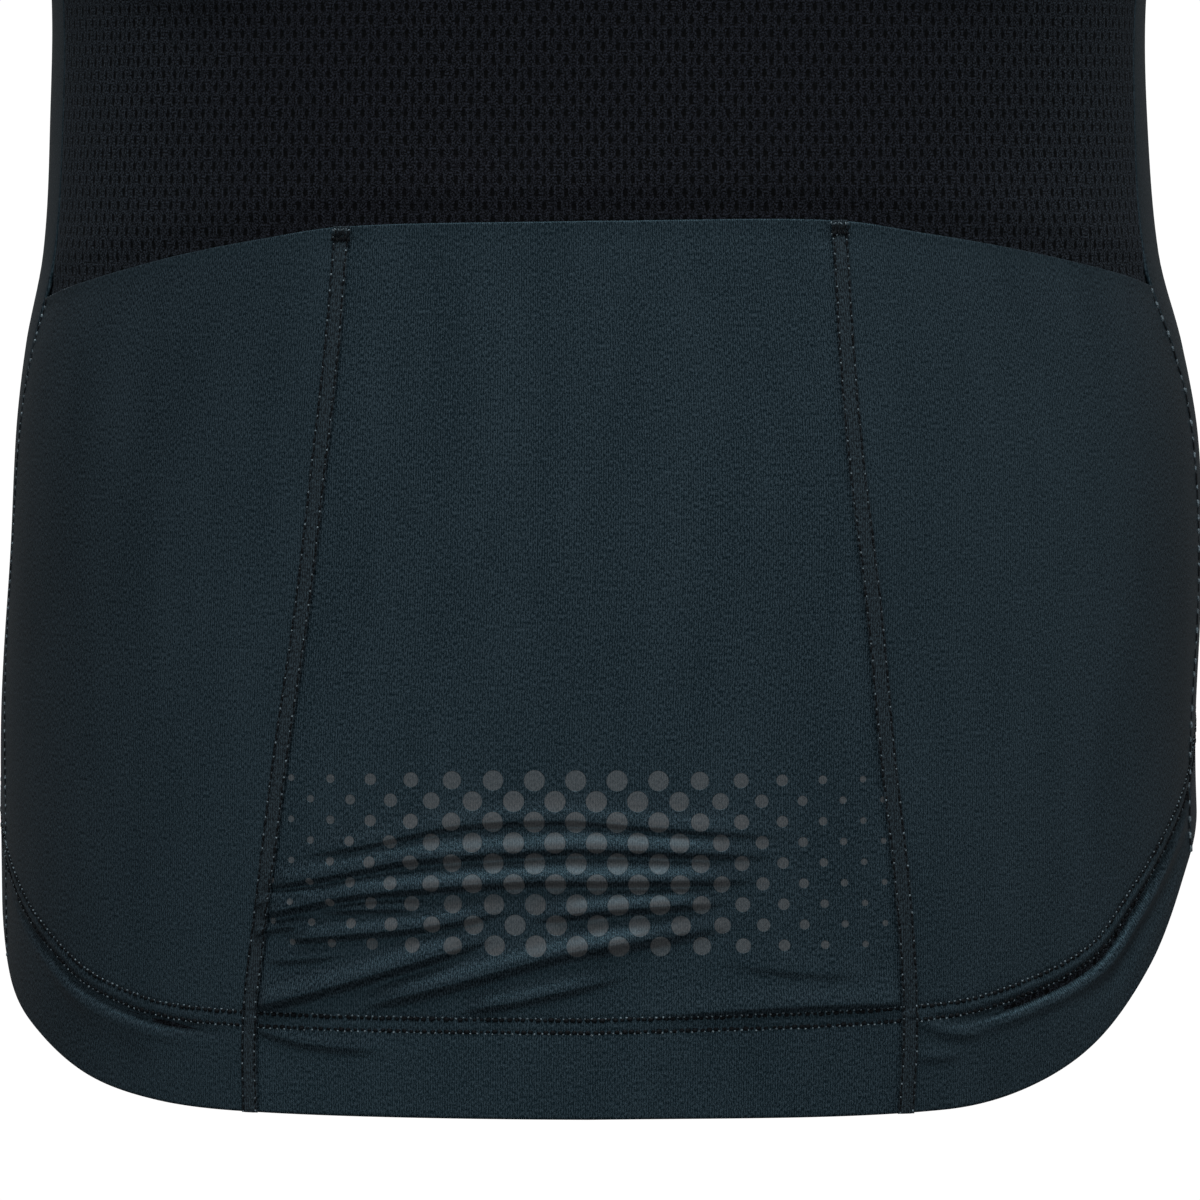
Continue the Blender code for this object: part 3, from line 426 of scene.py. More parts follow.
def top_level(from_centre, facing):
    drop = BACK_NECK_LEVEL if facing == "back" else FRONT_NECK_LEVEL
    share = np.clip(from_centre / NECK_TURN, 0.0, 1.0)
    return blend(drop, SHOULDER_TOP, 1.0 - np.sqrt(np.clip(1.0 - share * share, 0.0, None)))


def level_on(line, turn, facing):
    line, turn = spread(line, turn)
    around = abs(wrapped(turn))
    from_centre = around if facing == "back" else 180.0 - around
    hem = HEM_BOTTOM + sided(HEM, turn)
    armpit = np.full_like(hem, ARMPIT_LEVEL)
    top = top_level(from_centre, facing)
    levels = np.stack((hem, hem + HEM_DEPTH, sided(POCKET_TOP, turn), armpit, top))
    low = np.clip(line.astype(int), 0, 3)
    share = line - low
    share = np.where(low == 3, swing(share), share)
    below = np.take_along_axis(levels, low[None], 0)[0]
    above = np.take_along_axis(levels, low[None] + 1, 0)[0]
    return blend(below, above, share)


def edge_turn(line, side, facing):
    seam = smooth_at(SIDE_SEAM, SIDES[side], level_on(np.minimum(line, 3), side * SIDE_SEAM_TURN, "back"))
    seam = seam if facing == "back" else 180.0 - seam
    over = np.clip(line - 3, 0.0, 1.0)
    scoop = ARMHOLE_SCOOP[facing] * np.sin(np.pi * over)
    armhole = blend(90.0, SHOULDER_TURN, swing(over)) - scoop
    return np.where(line <= 3, seam, armhole)


def middle_turn(line, side, facing):
    low = side * turn_at(side * getattr(POCKET_SEAM[-1], SIDES[side]), POCKET_SEAM[-1].level)
    over = blend(low, NECK_TURN, smooth_step((line - 2) / 2))
    if facing == "front":
        return over
    level = level_on(np.minimum(line, 2), side * POCKET_SEAM_TURN, "back")
    seam = side * turn_at(side * smooth_at(POCKET_SEAM, SIDES[side], level), level)
    return np.where(line <= 2, seam, over)


def chart(column, line, side, facing):
    """The turn and level of grid points."""
    column, line = spread(column, line)
    middle, edge = middle_turn(line, side, facing), edge_turn(line, side, facing)
    from_centre = np.where(column <= 1, middle * column, blend(middle, edge, column - 1))
    turn = side * from_centre if facing == "back" else 180.0 - side * from_centre
    return turn, level_on(line, turn, facing)


def beside_zip(x, line):
    """The turn and level of the places on lines of the front at that x."""
    turn = np.full_like(line, 180.0)
    for _ in range(3):
        level = level_on(line, turn, "front")
        turn = 180.0 - turn_at(x, surface(turn, level)[..., 2])
    return turn, level_on(line, turn, "front")


def stretch(low, high, length, cell, edges=(True, True)):
    """Numbers from low to high, a cell apart over that length, with closer ones by the edges that are rounded."""
    inner = np.linspace(0.0, 1.0, max(int(round(length / cell)), 1) + 1)
    close = np.array(EDGE_STEPS) / length
    clear = EDGE_STEPS[-1] / length * 1.5
    parts = [inner[(inner > clear * edges[0]) & (inner < 1 - clear * edges[1])]]
    if edges[0]:
        parts.append(np.concatenate(([0.0], close)))
    if edges[1]:
        parts.append(1 - np.concatenate(([0.0], close)))
    shares = np.unique(np.concatenate(parts + [[0.0, 1.0]]))
    return blend(low, high, shares)


# Walls


def placed(name, data):
    thing = bpy.data.objects.new(name, data)
    bpy.context.scene.collection.objects.link(thing)
    return thing


def mesh_object(name, points, faces, finish, uv=None):
    """A mesh of quads or triangles; uv has a place on the cloth, in metres, for each point."""
    faces = np.asarray(faces, np.int32)
    mesh = bpy.data.meshes.new(name)
    mesh.vertices.add(len(points))
    mesh.vertices.foreach_set("co", np.asarray(points, np.float32).ravel())
    mesh.loops.add(faces.size)
    mesh.loops.foreach_set("vertex_index", faces.ravel())
    mesh.polygons.add(len(faces))
    mesh.polygons.foreach_set("loop_start", np.arange(0, faces.size, faces.shape[1], dtype=np.int32))
    if uv is not None:
        layer = mesh.uv_layers.new(name="cloth")
        layer.data.foreach_set("uv", np.asarray(uv, np.float32)[faces.ravel()].ravel())
    mesh.update(calc_edges=True)
    mesh.validate()
    mesh.shade_smooth()
    mesh.materials.append(bpy.data.materials[finish])
    return placed(name, mesh)


def facing_out(points, faces):
    """The faces, all turned round if the closed mesh they make is inside out."""
    a, b, c = (points[faces[:, k]] for k in (0, 1, 2))
    volume = np.einsum("ij,ij->", a, np.cross(b, c))
    if faces.shape[1] == 4:
        volume += np.einsum("ij,ij->", a, np.cross(c, points[faces[:, 3]]))
    return faces if volume > 0 else faces[:, ::-1]


def grid_faces(rows, columns, closed):
    r, c = np.meshgrid(np.arange(rows - 1), np.arange(columns - (not closed)), indexing="ij")
    after = (c + 1) % columns
    return np.stack((r * columns + c, (r + 1) * columns + c, (r + 1) * columns + after, r * columns + after), -1)


def wall(name, outer, inner, finish, uv, closed=False):
    """A closed wall between two grids of points. A closed one joins its last column to its first."""
    rows, columns = outer.shape[:2]
    count = rows * columns
    top = grid_faces(rows, columns, closed).reshape(-1, 4)
    faces = [top, top[:, ::-1] + count]
    numbers = np.arange(count).reshape(rows, columns)
    if closed:
        loops = [np.append(numbers[0], numbers[0, 0]), np.append(numbers[-1], numbers[-1, 0])[::-1]]
    else:
        ring = (numbers[0], numbers[1:, -1], numbers[-1, -2::-1], numbers[-2::-1, 0])
        loops = [np.concatenate(ring)]
    for loop in loops:
        faces.append(np.stack((loop[:-1], loop[1:], loop[1:] + count, loop[:-1] + count), -1))
    points = np.concatenate((outer.reshape(-1, 3), inner.reshape(-1, 3)))
    faces = facing_out(points, np.concatenate(faces))
    places = np.tile(uv.reshape(-1, 2), (2, 1))
    return mesh_object(name, points, faces, finish, places)


def from_edges(points, edges):
    """Distance of each grid point from the nearest of the rounded edges: bottom, top, first and last column."""
    up, along = lengths_up(points), lengths(points)
    runs = (up, up[-1:] - up, along, along[:, -1:] - along)
    return np.minimum.reduce([run for run, rounded in zip(runs, edges) if rounded])


def rounding(distance, thick):
    """How far a wall's two faces turn in towards each other at that distance from its edge."""
    near = np.clip(1.0 - distance / (thick / 2), 0.0, 0.92)
    return thick / 2 * (1.0 - np.sqrt(1.0 - near * near))


def both_faces(base, normal, out, curl, thick):
    """The outer and the inner face of a wall that stands off its base along normals."""
    return [base + normal * depth[..., None] for depth in (out - curl, out - thick + curl)]


def cloth(name, turn, level, out, thick, finish, edges=(True, True, True, True)):
    """A wall whose outer face lies that far outside the body surface at a grid of places, with rounded edges."""
    base, normal = surface(turn, level), outward(turn, level)
    faces = both_faces(base, normal, out, rounding(from_edges(base, edges), thick), thick)
    return wall(name, *faces, finish, cloth_place(turn, level))


def on_jersey(piece, slot, node=None):
    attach(piece, "jersey")
    if node:
        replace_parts(piece, node)
    return piece


def sided_name(name, side):
    return f"{name}_{SIDES[side]}"


# Relief of the cloth


def crease_lift(creases, x, z):
    """How far creases lift the cloth at places across and up."""
    lift = np.zeros_like(x)
    for crease in creases:
        foot = crease.foot[::-1]
        share = (foot[-1, 0] - x) / (foot[-1, 0] - foot[0, 0])
        up = curve(foot[:, 0], foot[:, 1], x)
        slope = (curve(foot[:, 0], foot[:, 1], x + 0.001) - up) / 0.001
        off = (z - up) / np.sqrt(1 + slope * slope) - 0.7 * crease.below
        reach = np.where(off > 0, crease.above, crease.below)
        fade = smooth_step(share / crease.fade_in) * smooth_step((1 - share) / crease.fade_out)
        lift += crease.rise * fade * bell(off, reach)
    return lift


def sewn_in(off, rows):
    """How far rows of stitches, each that far along, draw the cloth in."""
    return -STITCH_SINK * sum(bell(off - row, STITCH_REACH) for row in rows)


def row_level(turn, row):
    """The level of the hem's lower row of stitches, 0, or upper one, 1, and the rows' slope there."""
    low, step = HEM_BOTTOM + sided(HEM_STITCHES, turn), 1.0
    run = np.linalg.norm(surface(turn + step, low) - surface(turn - step, low), axis=-1)
    slope = (sided(HEM_STITCHES, turn + step) - sided(HEM_STITCHES, turn - step)) / run
    return low + row * HEM_ROWS_APART * np.sqrt(1 + slope * slope), slope


def hem_relief(turn, level):
    """The hem's two sewn rows, the beaded ridge of cloth between them and the creases that follow them."""
    low, slope = row_level(turn, 0)
    off = (level - low) / np.sqrt(1 + slope * slope)
    beads = 1 + 0.5 * np.sin(2 * np.pi * cloth_place(turn, level)[..., 0] / (2 * HEM_HOLE.pitch))
    between = HEM_BEAD * beads * bell(off - HEM_ROWS_APART / 2, HEM_ROWS_APART / 3)
    relief = between + sewn_in(off, (0, HEM_ROWS_APART))
    around = wrapped(turn)
    for crease in ROW_CREASES:
        share = (around - crease.from_turn) / (crease.to_turn - crease.from_turn)
        fade = smooth_step(np.minimum(share, 1 - share) / 0.3)
        relief = relief + crease.rise * fade * bell(off - crease.offset, crease.reach)
    return relief


def drape(turn, level):
    """A faint unevenness of worn cloth."""
    place = cloth_place(turn, level)
    u, v = place[..., 0], place[..., 1]
    waves = ((0.083, 0.210, 0.3), (0.131, -0.170, 1.7), (0.190, 0.097, 4.1), (0.230, -0.310, 2.6))
    return 0.00016 * sum(np.sin(2 * np.pi * (u / a + v / b) + c) for a, b, c in waves)


def sink(turn, level):
    """How far the back lies inside the body surface, to make room for the pockets."""
    top = sided(POCKET_TOP, turn)
    depth = POCKET_WALL + POCKET_CLEARANCE
    return -depth * smooth_step((top + SINK_RUN - level) / SINK_RUN)


# Panels


def lines_up(fine_from=None, fine_to=None, last=4):
    """Line numbers up a panel, closer together over a part of it."""
    parts = [stretch(0, 1, 0.0255, FINE, (True, False))]
    spans = (0.20, 0.26, 0.30)
    for low, length in zip((1, 2, 3), spans):
        if low + 1 > last:
            break
        parts.append(stretch(low, low + 1, length, COARSE, (False, low + 1 == last))[1:])
    lines = np.concatenate(parts)
    if fine_from is not None:
        finer = np.linspace(fine_from, fine_to, int((fine_to - fine_from) * 0.20 / FINEST) + 1)
        lines = np.concatenate((lines[(lines < fine_from) | (lines > fine_to)], finer))
    return np.unique(np.round(lines, 9))


def half_columns(first, second, edges):
    """Columns from the centre, 0, through 1 to the side, 2."""
    inner = stretch(0, 1, first, COARSE, (edges[0], False))
    return np.concatenate((inner, stretch(1, 2, second, COARSE, (False, edges[1]))[1:]))


def both_sides(half, line):
    """The turn and level of a whole panel's grid on the back, from the wearer's right to the left."""
    right, left = (chart(half[None, :], line[:, None], side, "back") for side in (-1, 1))
    return [np.concatenate((r[:, ::-1], l[:, 1:]), 1) for r, l in zip(right, left)]


def back_panel():
    """The mesh back, one panel behind the pockets and above them."""
    turn, level = both_sides(half_columns(0.07, 0.12, (False, True)), lines_up())
    level[0] += BACK_HEM_SETBACK
    sunk = sink(turn, level)
    turn = turn - SINK_SPREAD * np.sign(turn) * (turn / SIDE_SEAM_TURN) ** 8 * sunk / (POCKET_WALL + POCKET_CLEARANCE)
    x = surface(turn, level)[..., 0]
    out = sunk + drape(turn, level) * smooth_step((level + 0.46) / 0.03)
    return cloth("mesh_back", turn, level, out + crease_lift(BACK_CREASES, x, level), WALL, "open_mesh")


def front_relief(turn, level):
    point = surface(turn, level)
    from_zip = np.abs(point[..., 0]) - ZIP_HALF_OPENING
    height, pitch, reach = ZIP_RIPPLE
    ripple = np.sin(2 * np.pi * level / pitch + 1.3 * np.sin(level / 0.05))
    ripple = height * np.clip(ripple, 0.0, None) * smooth_step(from_zip / 0.006) * bell(from_zip, reach)
    lift = crease_lift(FRONT_CREASES, point[..., 0], point[..., 2]) + drape(turn, level) + ripple
    return hem_relief(turn, level) + lift * smooth_step(from_zip / 0.010)


def front_panel(side):
    half = half_columns(0.07, 0.17, (True, True))
    line = lines_up()
    turn, level = chart(half[None, :], line[:, None], side, "front")
    edge = beside_zip(side * ZIP_HALF_OPENING, line)[0]
    turn = turn + (edge - turn[:, 0])[:, None] * (1 - np.clip(half, 0, 1))[None, :]
    level = np.where(line[:, None] < 4, level_on(line[:, None], turn, "front"), level)
    out = front_relief(turn, level)
    return cloth(sided_name("front_cloth", side), turn, level, out, WALL, "petrol_knit")


def pocket_relief(turn, level):
    """The pockets' outer face: its creases, its sewn hem and the thicker rim along its top."""
    x = surface(turn, level)[..., 0]
    lift = crease_lift(POCKET_CREASES, x, level) * (np.abs(x) < 0.1) + crease_lift(SIDE_CREASES, x, level)
    below_top = sided(POCKET_TOP, turn) - level
    groove, groove_below, groove_reach = RIM_GROOVE
    rim = POCKET_RIM[0] * bell(below_top, POCKET_RIM[1]) - groove * bell(below_top - groove_below, groove_reach)
    from_seam = np.minimum(*(abs(x - side * getattr(POCKET_SEAM[-1], word)) for side, word in SIDES.items()))
    pull, across, pull_below, down = SEAM_PULL
    pulled = pull * bell(from_seam, across) * bell(below_top - pull_below, down)
    return lift + hem_relief(turn, level) + rim - pulled + drape(turn, level) * smooth_step(below_top / 0.02)


def side_pocket(side):
    columns = stretch(1, 2, 0.115, 0.0017)
    turn, level = chart(columns[None, :], lines_up(1.0, 1.20, last=2)[:, None], side, "back")
    out = pocket_relief(turn, level)
    return cloth(sided_name("pocket_cloth", side), turn, level, out, POCKET_WALL, "petrol_knit")


def centre_pocket():
    turn, level = both_sides(stretch(0, 1, 0.085, 0.0012, (False, True)), lines_up(1.0, 1.40, last=2))
    out = pocket_relief(turn, level)
    return cloth("pocket_cloth_centre", turn, level, out, POCKET_WALL, "petrol_knit_dots")


def strip_out(turn, level):
    return pocket_relief(turn, level) + STRIP_WALL + SEAM_GAP


def seam_strip(side):
    """A stitched strip over a pocket's seam, following the cloth beneath it and drawn in along its stitches."""
    middle, level = chart(1.0, lines_up(1.0, 1.36, last=2), side, "back")
    across = np.linspace(-1, 1, 21)
    turn = middle[:, None] + turn_over(STRIP_WIDTH / 2) * across[None, :]
    level = np.repeat(level[:, None], len(across), 1)
    row = 1 - STRIP_STITCH_INSET / (STRIP_WIDTH / 2)
    drawn = STRIP_DRAW[0] * bell(np.abs(across) - row, STRIP_DRAW[1])
    return cloth(sided_name("strip", side), turn, level, strip_out(turn, level) - drawn, STRIP_WALL, "strip_knit")


# Sleeves


def seam_tape(name, below, above, outward_sign, closed):
    """A narrow tape inside a seam between two cloths, each given by two rows of points with the seam between."""
    reach, thick, gap = SEAM_TAPE
    if closed:
        along = np.roll(below[1], -1, 0) - np.roll(below[1], 1, 0)
    else:
        along = np.gradient(below[1], axis=0)
    seam = (below[1] + above[0]) / 2
    low, high = (unit(outward_sign * np.cross(along, row[1] - row[0])) for row in (below, above))
    between = unit(low + high)
    between = between / np.clip((between * low).sum(-1, keepdims=True), 0.6, 1.0)
    ends = (below[1] - unit(below[1] - below[0]) * reach, above[0] + unit(above[1] - above[0]) * reach)
    rows, normals = np.stack((ends[0], seam, ends[1])), np.stack((low, between, high))
    faces = [rows - normals * (WALL + gap + depth) for depth in (0.0, thick)]
    run = lengths(seam)
    uv = np.stack(spread(run, [[0.0], [reach], [2 * reach]]), -1)
    return on_jersey(wall(name, *faces, "strip_knit", uv, closed), "seam_strip")


def armhole_ring(steps, column=2.0):
    """Turn, level, share of the way up and facing round the armhole, up the front and down the back."""
    rise = np.linspace(3, 4, steps)
    front, back = chart(column, rise, 1, "front"), chart(column, rise[-2:0:-1], 1, "back")
    turn, level = (np.concatenate(pair) for pair in zip(front, back))
    up = np.concatenate((rise, rise[-2:0:-1])) - 3
    return turn, level, up, np.concatenate((-np.ones(steps), np.ones(steps - 2)))


def softened(points, steps):
    """Points round the sleeve, each the mean of its neighbours."""
    return sum(np.roll(points, step, 1) for step in range(-steps, steps + 1)) / (2 * steps + 1)


def sleeve(side):
    along_arm = np.array((math.sin(ARM_TILT), 0.0, -math.cos(ARM_TILT)))
    across_arm = np.array((math.cos(ARM_TILT), 0.0, math.sin(ARM_TILT)))
    turn, level, up, facing = armhole_ring(SLEEVE_RISE_STEPS)
    start, normal = surface(turn, level), outward(turn, level)
    angle = np.pi * up
    end = ARM_ROOT + along_arm * SLEEVE_REACH - across_arm * CUFF_RADII[0] * np.cos(angle)[:, None]
    end[:, 1] += CUFF_RADII[1] * np.sin(angle) * facing
    leave = blend(SLEEVE_UNDER_START, SLEEVE_TOP_START, up[:, None])
    under = np.minimum(0.0, np.einsum("ij,ij->i", normal, leave))
    leave = unit(leave - normal * under[:, None])
    reach = np.linalg.norm(end - start, axis=-1)[:, None]
    start = start + leave * SLEEVE_GAP
    share = stretch(0, 1, 0.22, COARSE)[:, None, None]
    points = (
        blend(start, end, smooth_step(share))
        + leave * reach * (share**3 - 2 * share * share + share)
        + along_arm * reach * SLEEVE_STRAIGHTNESS * (share**3 - share * share)
    )
    under, top = (softened(points, steps) for steps in SLEEVE_SOFT_STEPS)
    fades = smooth_step(share / SLEEVE_SOFT_FADES[0]) * smooth_step((1 - share) / SLEEVE_SOFT_FADES[1])
    points = blend(points, blend(under, top, up[:, None] ** SLEEVE_TOP_POWER), fades)
    around = np.roll(points, -1, 1) - np.roll(points, 1, 1)
    along = np.gradient(points, axis=0)
    own = unit(np.cross(along, around))
    own[0] = unit(own[0] + (normal - own[0]) * up[:, None])
    down = lengths_up(points)
    from_cuff = down[-1:] - down
    cuff_rows = (CUFF_STITCH_UP, CUFF_STITCH_UP + HEM_ROWS_APART)
    relief = sleeve_relief(up, facing, down, points) + sewn_in(from_cuff, cuff_rows)
    curl = rounding(np.minimum(down, from_cuff), WALL)
    mirror = np.array((side, 1.0, 1.0))
    outer, inner = (face * mirror for face in both_faces(points, own, relief, curl, WALL))
    girth = lengths(np.concatenate((points[-1], points[-1][:1])))[:-1]
    uv = np.stack((np.broadcast_to(girth, down.shape), down), -1)
    made = wall(sided_name("sleeve_cloth", side), outer, inner, "petrol_knit", uv, closed=True)
    body = [surface(*armhole_ring(SLEEVE_RISE_STEPS, column)[:2]) for column in (1.94, 2.0)]
    rows = [row * mirror for row in (*body, points[0], points[3])]
    tape = seam_tape(sided_name("armhole_tape", side), rows[:2], rows[2:], -side, True)

    def ring_at(run, start):
        """A closed row of points that far from the armhole, or from the cuff."""
        step = 1 if run[0, 0] == 0 else -1
        ring = [points_at(run[::step, c], outer[::step, c], start) for c in range(points.shape[1])]
        return np.array(ring + ring[:1])

    cuff, seam = (np.concatenate((row, row[:1])) * mirror for row in (own[-1], own[2]))
    stitched = [(ring_at(from_cuff, row), cuff, HEM_STITCH, HEM_HOLE) for row in cuff_rows]
    stitched.append((ring_at(down, SEAM_STITCH_UP), seam, PLAIN_STITCH, None))
    return made, tape, stitched


def sleeve_relief(up, facing, down, points):
    """Soft ridges that fan out from the armpit, and a faint unevenness."""
    lift = np.zeros_like(down)
    half = np.linalg.norm(points.max(1) - points.min(1), axis=-1).max() * 1.2
    for front in (1, -1):
        for crease in SLEEVE_CREASES:
            place = crease.up * half + crease.slant * np.clip(down - crease.start, 0, None) * (0.8 + 0.2 * front)
            off = up[None, :] * half - place
            off = off / np.where(off > 0, crease.reach, 0.5 * crease.reach)
            along = (down - crease.start) / crease.run
            fade = smooth_step(along / 0.25) * smooth_step((1 - along) / 0.6)
            lift += crease.rise * fade * np.exp(-off * off) * (facing == front)[None, :]
    wave = np.sin(np.pi * up * 3.0 + down / 0.021) * np.sin(np.pi * up)
    return lift + 0.0003 * wave * smooth_step(down / 0.02)


# Sewing thread


def capsules(centre, tangent, out, length, width, bow=0.6):
    """Points and faces of short raised bars, one at each centre."""
    length, width = (np.broadcast_to(size, len(centre))[:, None, None] for size in (length, width))
    shares, sizes = np.array((-0.5, -0.3, 0.3, 0.5)), np.array((0.3, 1.0, 1.0, 0.3))
    corners = 6
    angles = 2 * np.pi * np.arange(corners) / corners
    beside = np.cross(out, tangent)
    arch = bow * width * (1 - (2 * shares) ** 2)[None, :, None]
    core = centre[:, None] + tangent[:, None] * shares[None, :, None] * length + out[:, None] * arch
    ring = beside[:, None] * np.cos(angles)[None, :, None] + out[:, None] * 0.8 * np.sin(angles)[None, :, None]
    points = core[:, :, None] + ring[:, None] * (width / 2 * sizes[None, :, None])[..., None]
    size = len(shares) * corners
    side = grid_faces(len(shares), corners, True).reshape(-1, 4)
    first, last = np.arange(corners), size - corners + np.arange(corners)
    caps = [ends[[a, b, c, d]] for ends in (first, last[::-1]) for a, b, c, d in ((0, 1, 2, 3), (0, 3, 4, 5))]
    faces = np.concatenate((side, np.array(caps)))
    return points.reshape(-1, 3), (faces[None] + size * np.arange(len(centre))[:, None, None]).reshape(-1, 4)


def along_row(path, normal, stitch, chance):
    """Centres, directions and normals of the stitches along a row, a little unevenly spaced."""
    run = lengths(path)
    places = np.arange(stitch.pitch * stitch.start, run[-1], stitch.pitch)
    places = np.clip(places + stitch.pitch * chance.uniform(-0.14, 0.14, len(places)), 0, run[-1])
    before, after = (points_at(run, path, places + step * stitch.length / 2) for step in (-1, 1))
    return points_at(run, path, places), unit(after - before), unit(points_at(run, normal, places))


def joined(name, parts, finish, slot):
    points, faces, count = [], [], 0
    for some_points, some_faces in parts:
        points.append(some_points)
        faces.append(some_faces + count)
        count += len(some_points)
    points, faces = np.concatenate(points), np.concatenate(faces)
    return on_jersey(mesh_object(name, points, facing_out(points, faces), finish), slot)


def stitching(name, rows, finish, sunk=0.0, bow=0.6):
    """One piece of all the stitches along rows of (points, normals, stitch), sunk by a share of their width."""
    parts, chance = [], np.random.default_rng(7)
    for path, normal, stitch in rows:
        centre, tangent, out = along_row(path, normal, stitch, chance)
        beside = np.cross(out, tangent)
        centre = centre - out * sunk * stitch.width + beside * chance.normal(0.0, 0.00007, (len(centre), 1))
        tangent = unit(tangent + beside * chance.normal(0.0, 0.16, (len(centre), 1)))
        size = chance.uniform(0.72, 1.12, len(centre))
        parts.append(capsules(centre, tangent, out, stitch.length * size, stitch.width * size, bow))
    return joined(name, parts, finish, "petrol_jersey")


def on_cloth(turn, level, out):
    """Points and normals of a row that lies on the cloth."""
    normal = outward(turn, level)
    return surface(turn, level) + normal * np.asarray(out)[..., None], normal


def body_relief(turn, level):
    return np.where(np.abs(turn) < 90, pocket_relief(turn, level), front_relief(turn, level))


def hem_rows():
    """The hem's two rows, from one side of the zip round the back to the other."""
    turn = np.linspace(-176.8, 176.8, 1800)
    rows = []
    for row, out in ((0, -TICK_OUT), (1, TICK_OUT)):
        level = row_level(turn, row)[0]
        rows.append((*on_cloth(turn, level + out, body_relief(turn, level + out)), HEM_STITCH))
        rows.append((*on_cloth(turn, level, body_relief(turn, level)), HEM_HOLE))
    return rows


def strip_rows(side):
    middle, level = chart(1.0, np.linspace(0.01, 1.985, 700), side, "back")
    rows = []
    for edge in (-1, 1):
        turn = middle + edge * turn_over(STRIP_WIDTH / 2 - STRIP_STITCH_INSET)
        rows.append(on_cloth(turn, level, strip_out(turn, level) - ROW_SINK))
    return rows


def side_row(side):
    """A row just inside a side pocket's outer edge."""
    turn, level = chart(2.0, np.linspace(0.02, 1.995, 700), side, "back")
    turn = turn - side * SIDE_ROW_IN
    return on_cloth(turn, level, pocket_relief(turn, level) - ROW_SINK)


def zip_row(side):
    """A row along the zip's edge of a front."""
    turn, level = beside_zip(side * (ZIP_HALF_OPENING + EDGE_STITCH_IN), np.linspace(0.02, 3.98, 900))
    return on_cloth(turn, level, front_relief(turn, level))


def shoulder_row(side):
    column = np.linspace(1.06, 1.98, 120)
    turn = chart(column, 4.0, side, "back")[0]
    level = np.full_like(turn, SHOULDER_TOP - SHOULDER_STITCH_DOWN)
    return on_cloth(turn, level, np.zeros_like(turn))


def bartacks():
    """Close, uneven zigzag stitches across the top of both strips, with light loops of thread among them."""
    width, height, below = BARTACK
    dark, light, chance = [], [], np.random.default_rng(3)
    for side in (-1, 1):
        middle, top = chart(1.0, 2.0, side, "back")
        half_turn = turn_over(width / 2)
        for parts, count, long, thick, deep in (
            (dark, 10, 0.0021, 0.00042, (0.3, 0.7)), (dark, 12, 0.0014, 0.00055, (0.75, 1.0)),
            (light, 6, 0.0009, 0.00036, (0.0, 0.12)), (light, 5, 0.0006, 0.00034, (0.5, 1.1)),
        ):
            turn = middle + half_turn * (np.linspace(-1, 1, count) + chance.uniform(-0.12, 0.12, count))
            level = float(top) - below - height * chance.uniform(*deep, count)
            centre, out = on_cloth(turn, level, strip_out(turn, level) + 0.0001)
            lean = (chance.uniform(-1, 1, count) * (2.5 if parts is light else 0.5))[:, None]
            up = unit(np.array((0.0, 0.0, 1.0)) + lean * np.array((1.0, 0.0, 0.0)))
            parts.append(capsules(centre, up, out, long * chance.uniform(0.7, 1.2, count), thick))
    return [
        joined("bartacks", dark, "thread_dark", "petrol_jersey"),
        joined("bartack_loops", light, "thread", "petrol_jersey"),
    ]


# Collar


def neckline(line=4.0, steps=33, follow=1.0):
    """Points of the neckline, or a line below it, from the zip's left side round the back to its right side. Those
    in front of the shoulders follow the zip's edge by that share."""
    columns = np.sin(np.linspace(0.0, np.pi / 2, steps))
    shift = (np.where(columns > 0, follow, 1.0) * (1 - columns))[:, None]
    halves = []
    for side in SIDES:
        front, back = (surface(*chart(columns, line, side, facing)) for facing in ("front", "back"))
        edge = surface(*beside_zip(side * ZIP_HALF_OPENING, np.array([line])))
        halves.append((front + (edge - front[:1]) * shift, back))
    (left_front, left_back), (right_front, right_back) = halves
    return np.concatenate((left_front, left_back[-2::-1], right_back[1:-1], right_front[::-1]))


def neck_middle():
    """The middle that the collar tapers towards."""
    return neckline(steps=7, follow=0.0).mean(0)


def collar_rise(base, middle, share):
    """The collar's points that share of the way up from points of the neckline, its zip edges left upright."""
    drop = COLLAR_SIDE_DROP * bell(base[:, 1], COLLAR_SIDE_REACH)
    risen = middle + (base - middle) * blend(1.0, COLLAR_TAPER, share)
    risen = risen + COLLAR_LEAN * (COLLAR_HEIGHT - drop[:, None]) * share
    run = lengths(base)
    upright = 1 - smooth_step(np.minimum(run, run[-1] - run) / 0.012)
    risen[..., 0] += (base[:, 0] - risen[..., 0]) * upright
    return risen


def collar():
    base, middle = neckline(), neck_middle()
    share = stretch(0.0004 / COLLAR_HEIGHT, 1, COLLAR_HEIGHT, 0.0016)[:, None, None]
    points = collar_rise(base, middle, share)
    own = unit(np.cross(np.gradient(points, axis=1), np.gradient(points, axis=0)))
    curl = rounding(from_edges(points, (True,) * 4), WALL)
    height = lengths_up(points)
    run = np.broadcast_to(lengths(base), height.shape)
    relief = sewn_in(height[-1:] - height, (COLLAR_STITCH_IN,))
    relief = relief + 0.0004 * np.sin(run / 0.019 + 1.0) * np.sin(np.pi * height / height[-1:])
    outer, inner = both_faces(points, own, relief, curl, WALL)
    made = wall("collar_cloth", outer, inner, "petrol_knit", np.stack((run, height), -1))
    clear = (np.abs(base[:, 0]) > 0.0135) | (base[:, 1] > 0)
    tape_rows = [row[clear] for row in (neckline(3.93), base, points[0], points[3])]
    tape = seam_tape("neck_tape", tape_rows[:2], tape_rows[2:], 1, False)
    rows = []
    for up in (SEAM_STITCH_UP, COLLAR_HEIGHT - COLLAR_SIDE_DROP - COLLAR_STITCH_IN):
        r = int(np.abs(height[:, len(base) // 2] - up).argmin())
        rows.append((outer[r], own[r]))
    return made, tape, rows


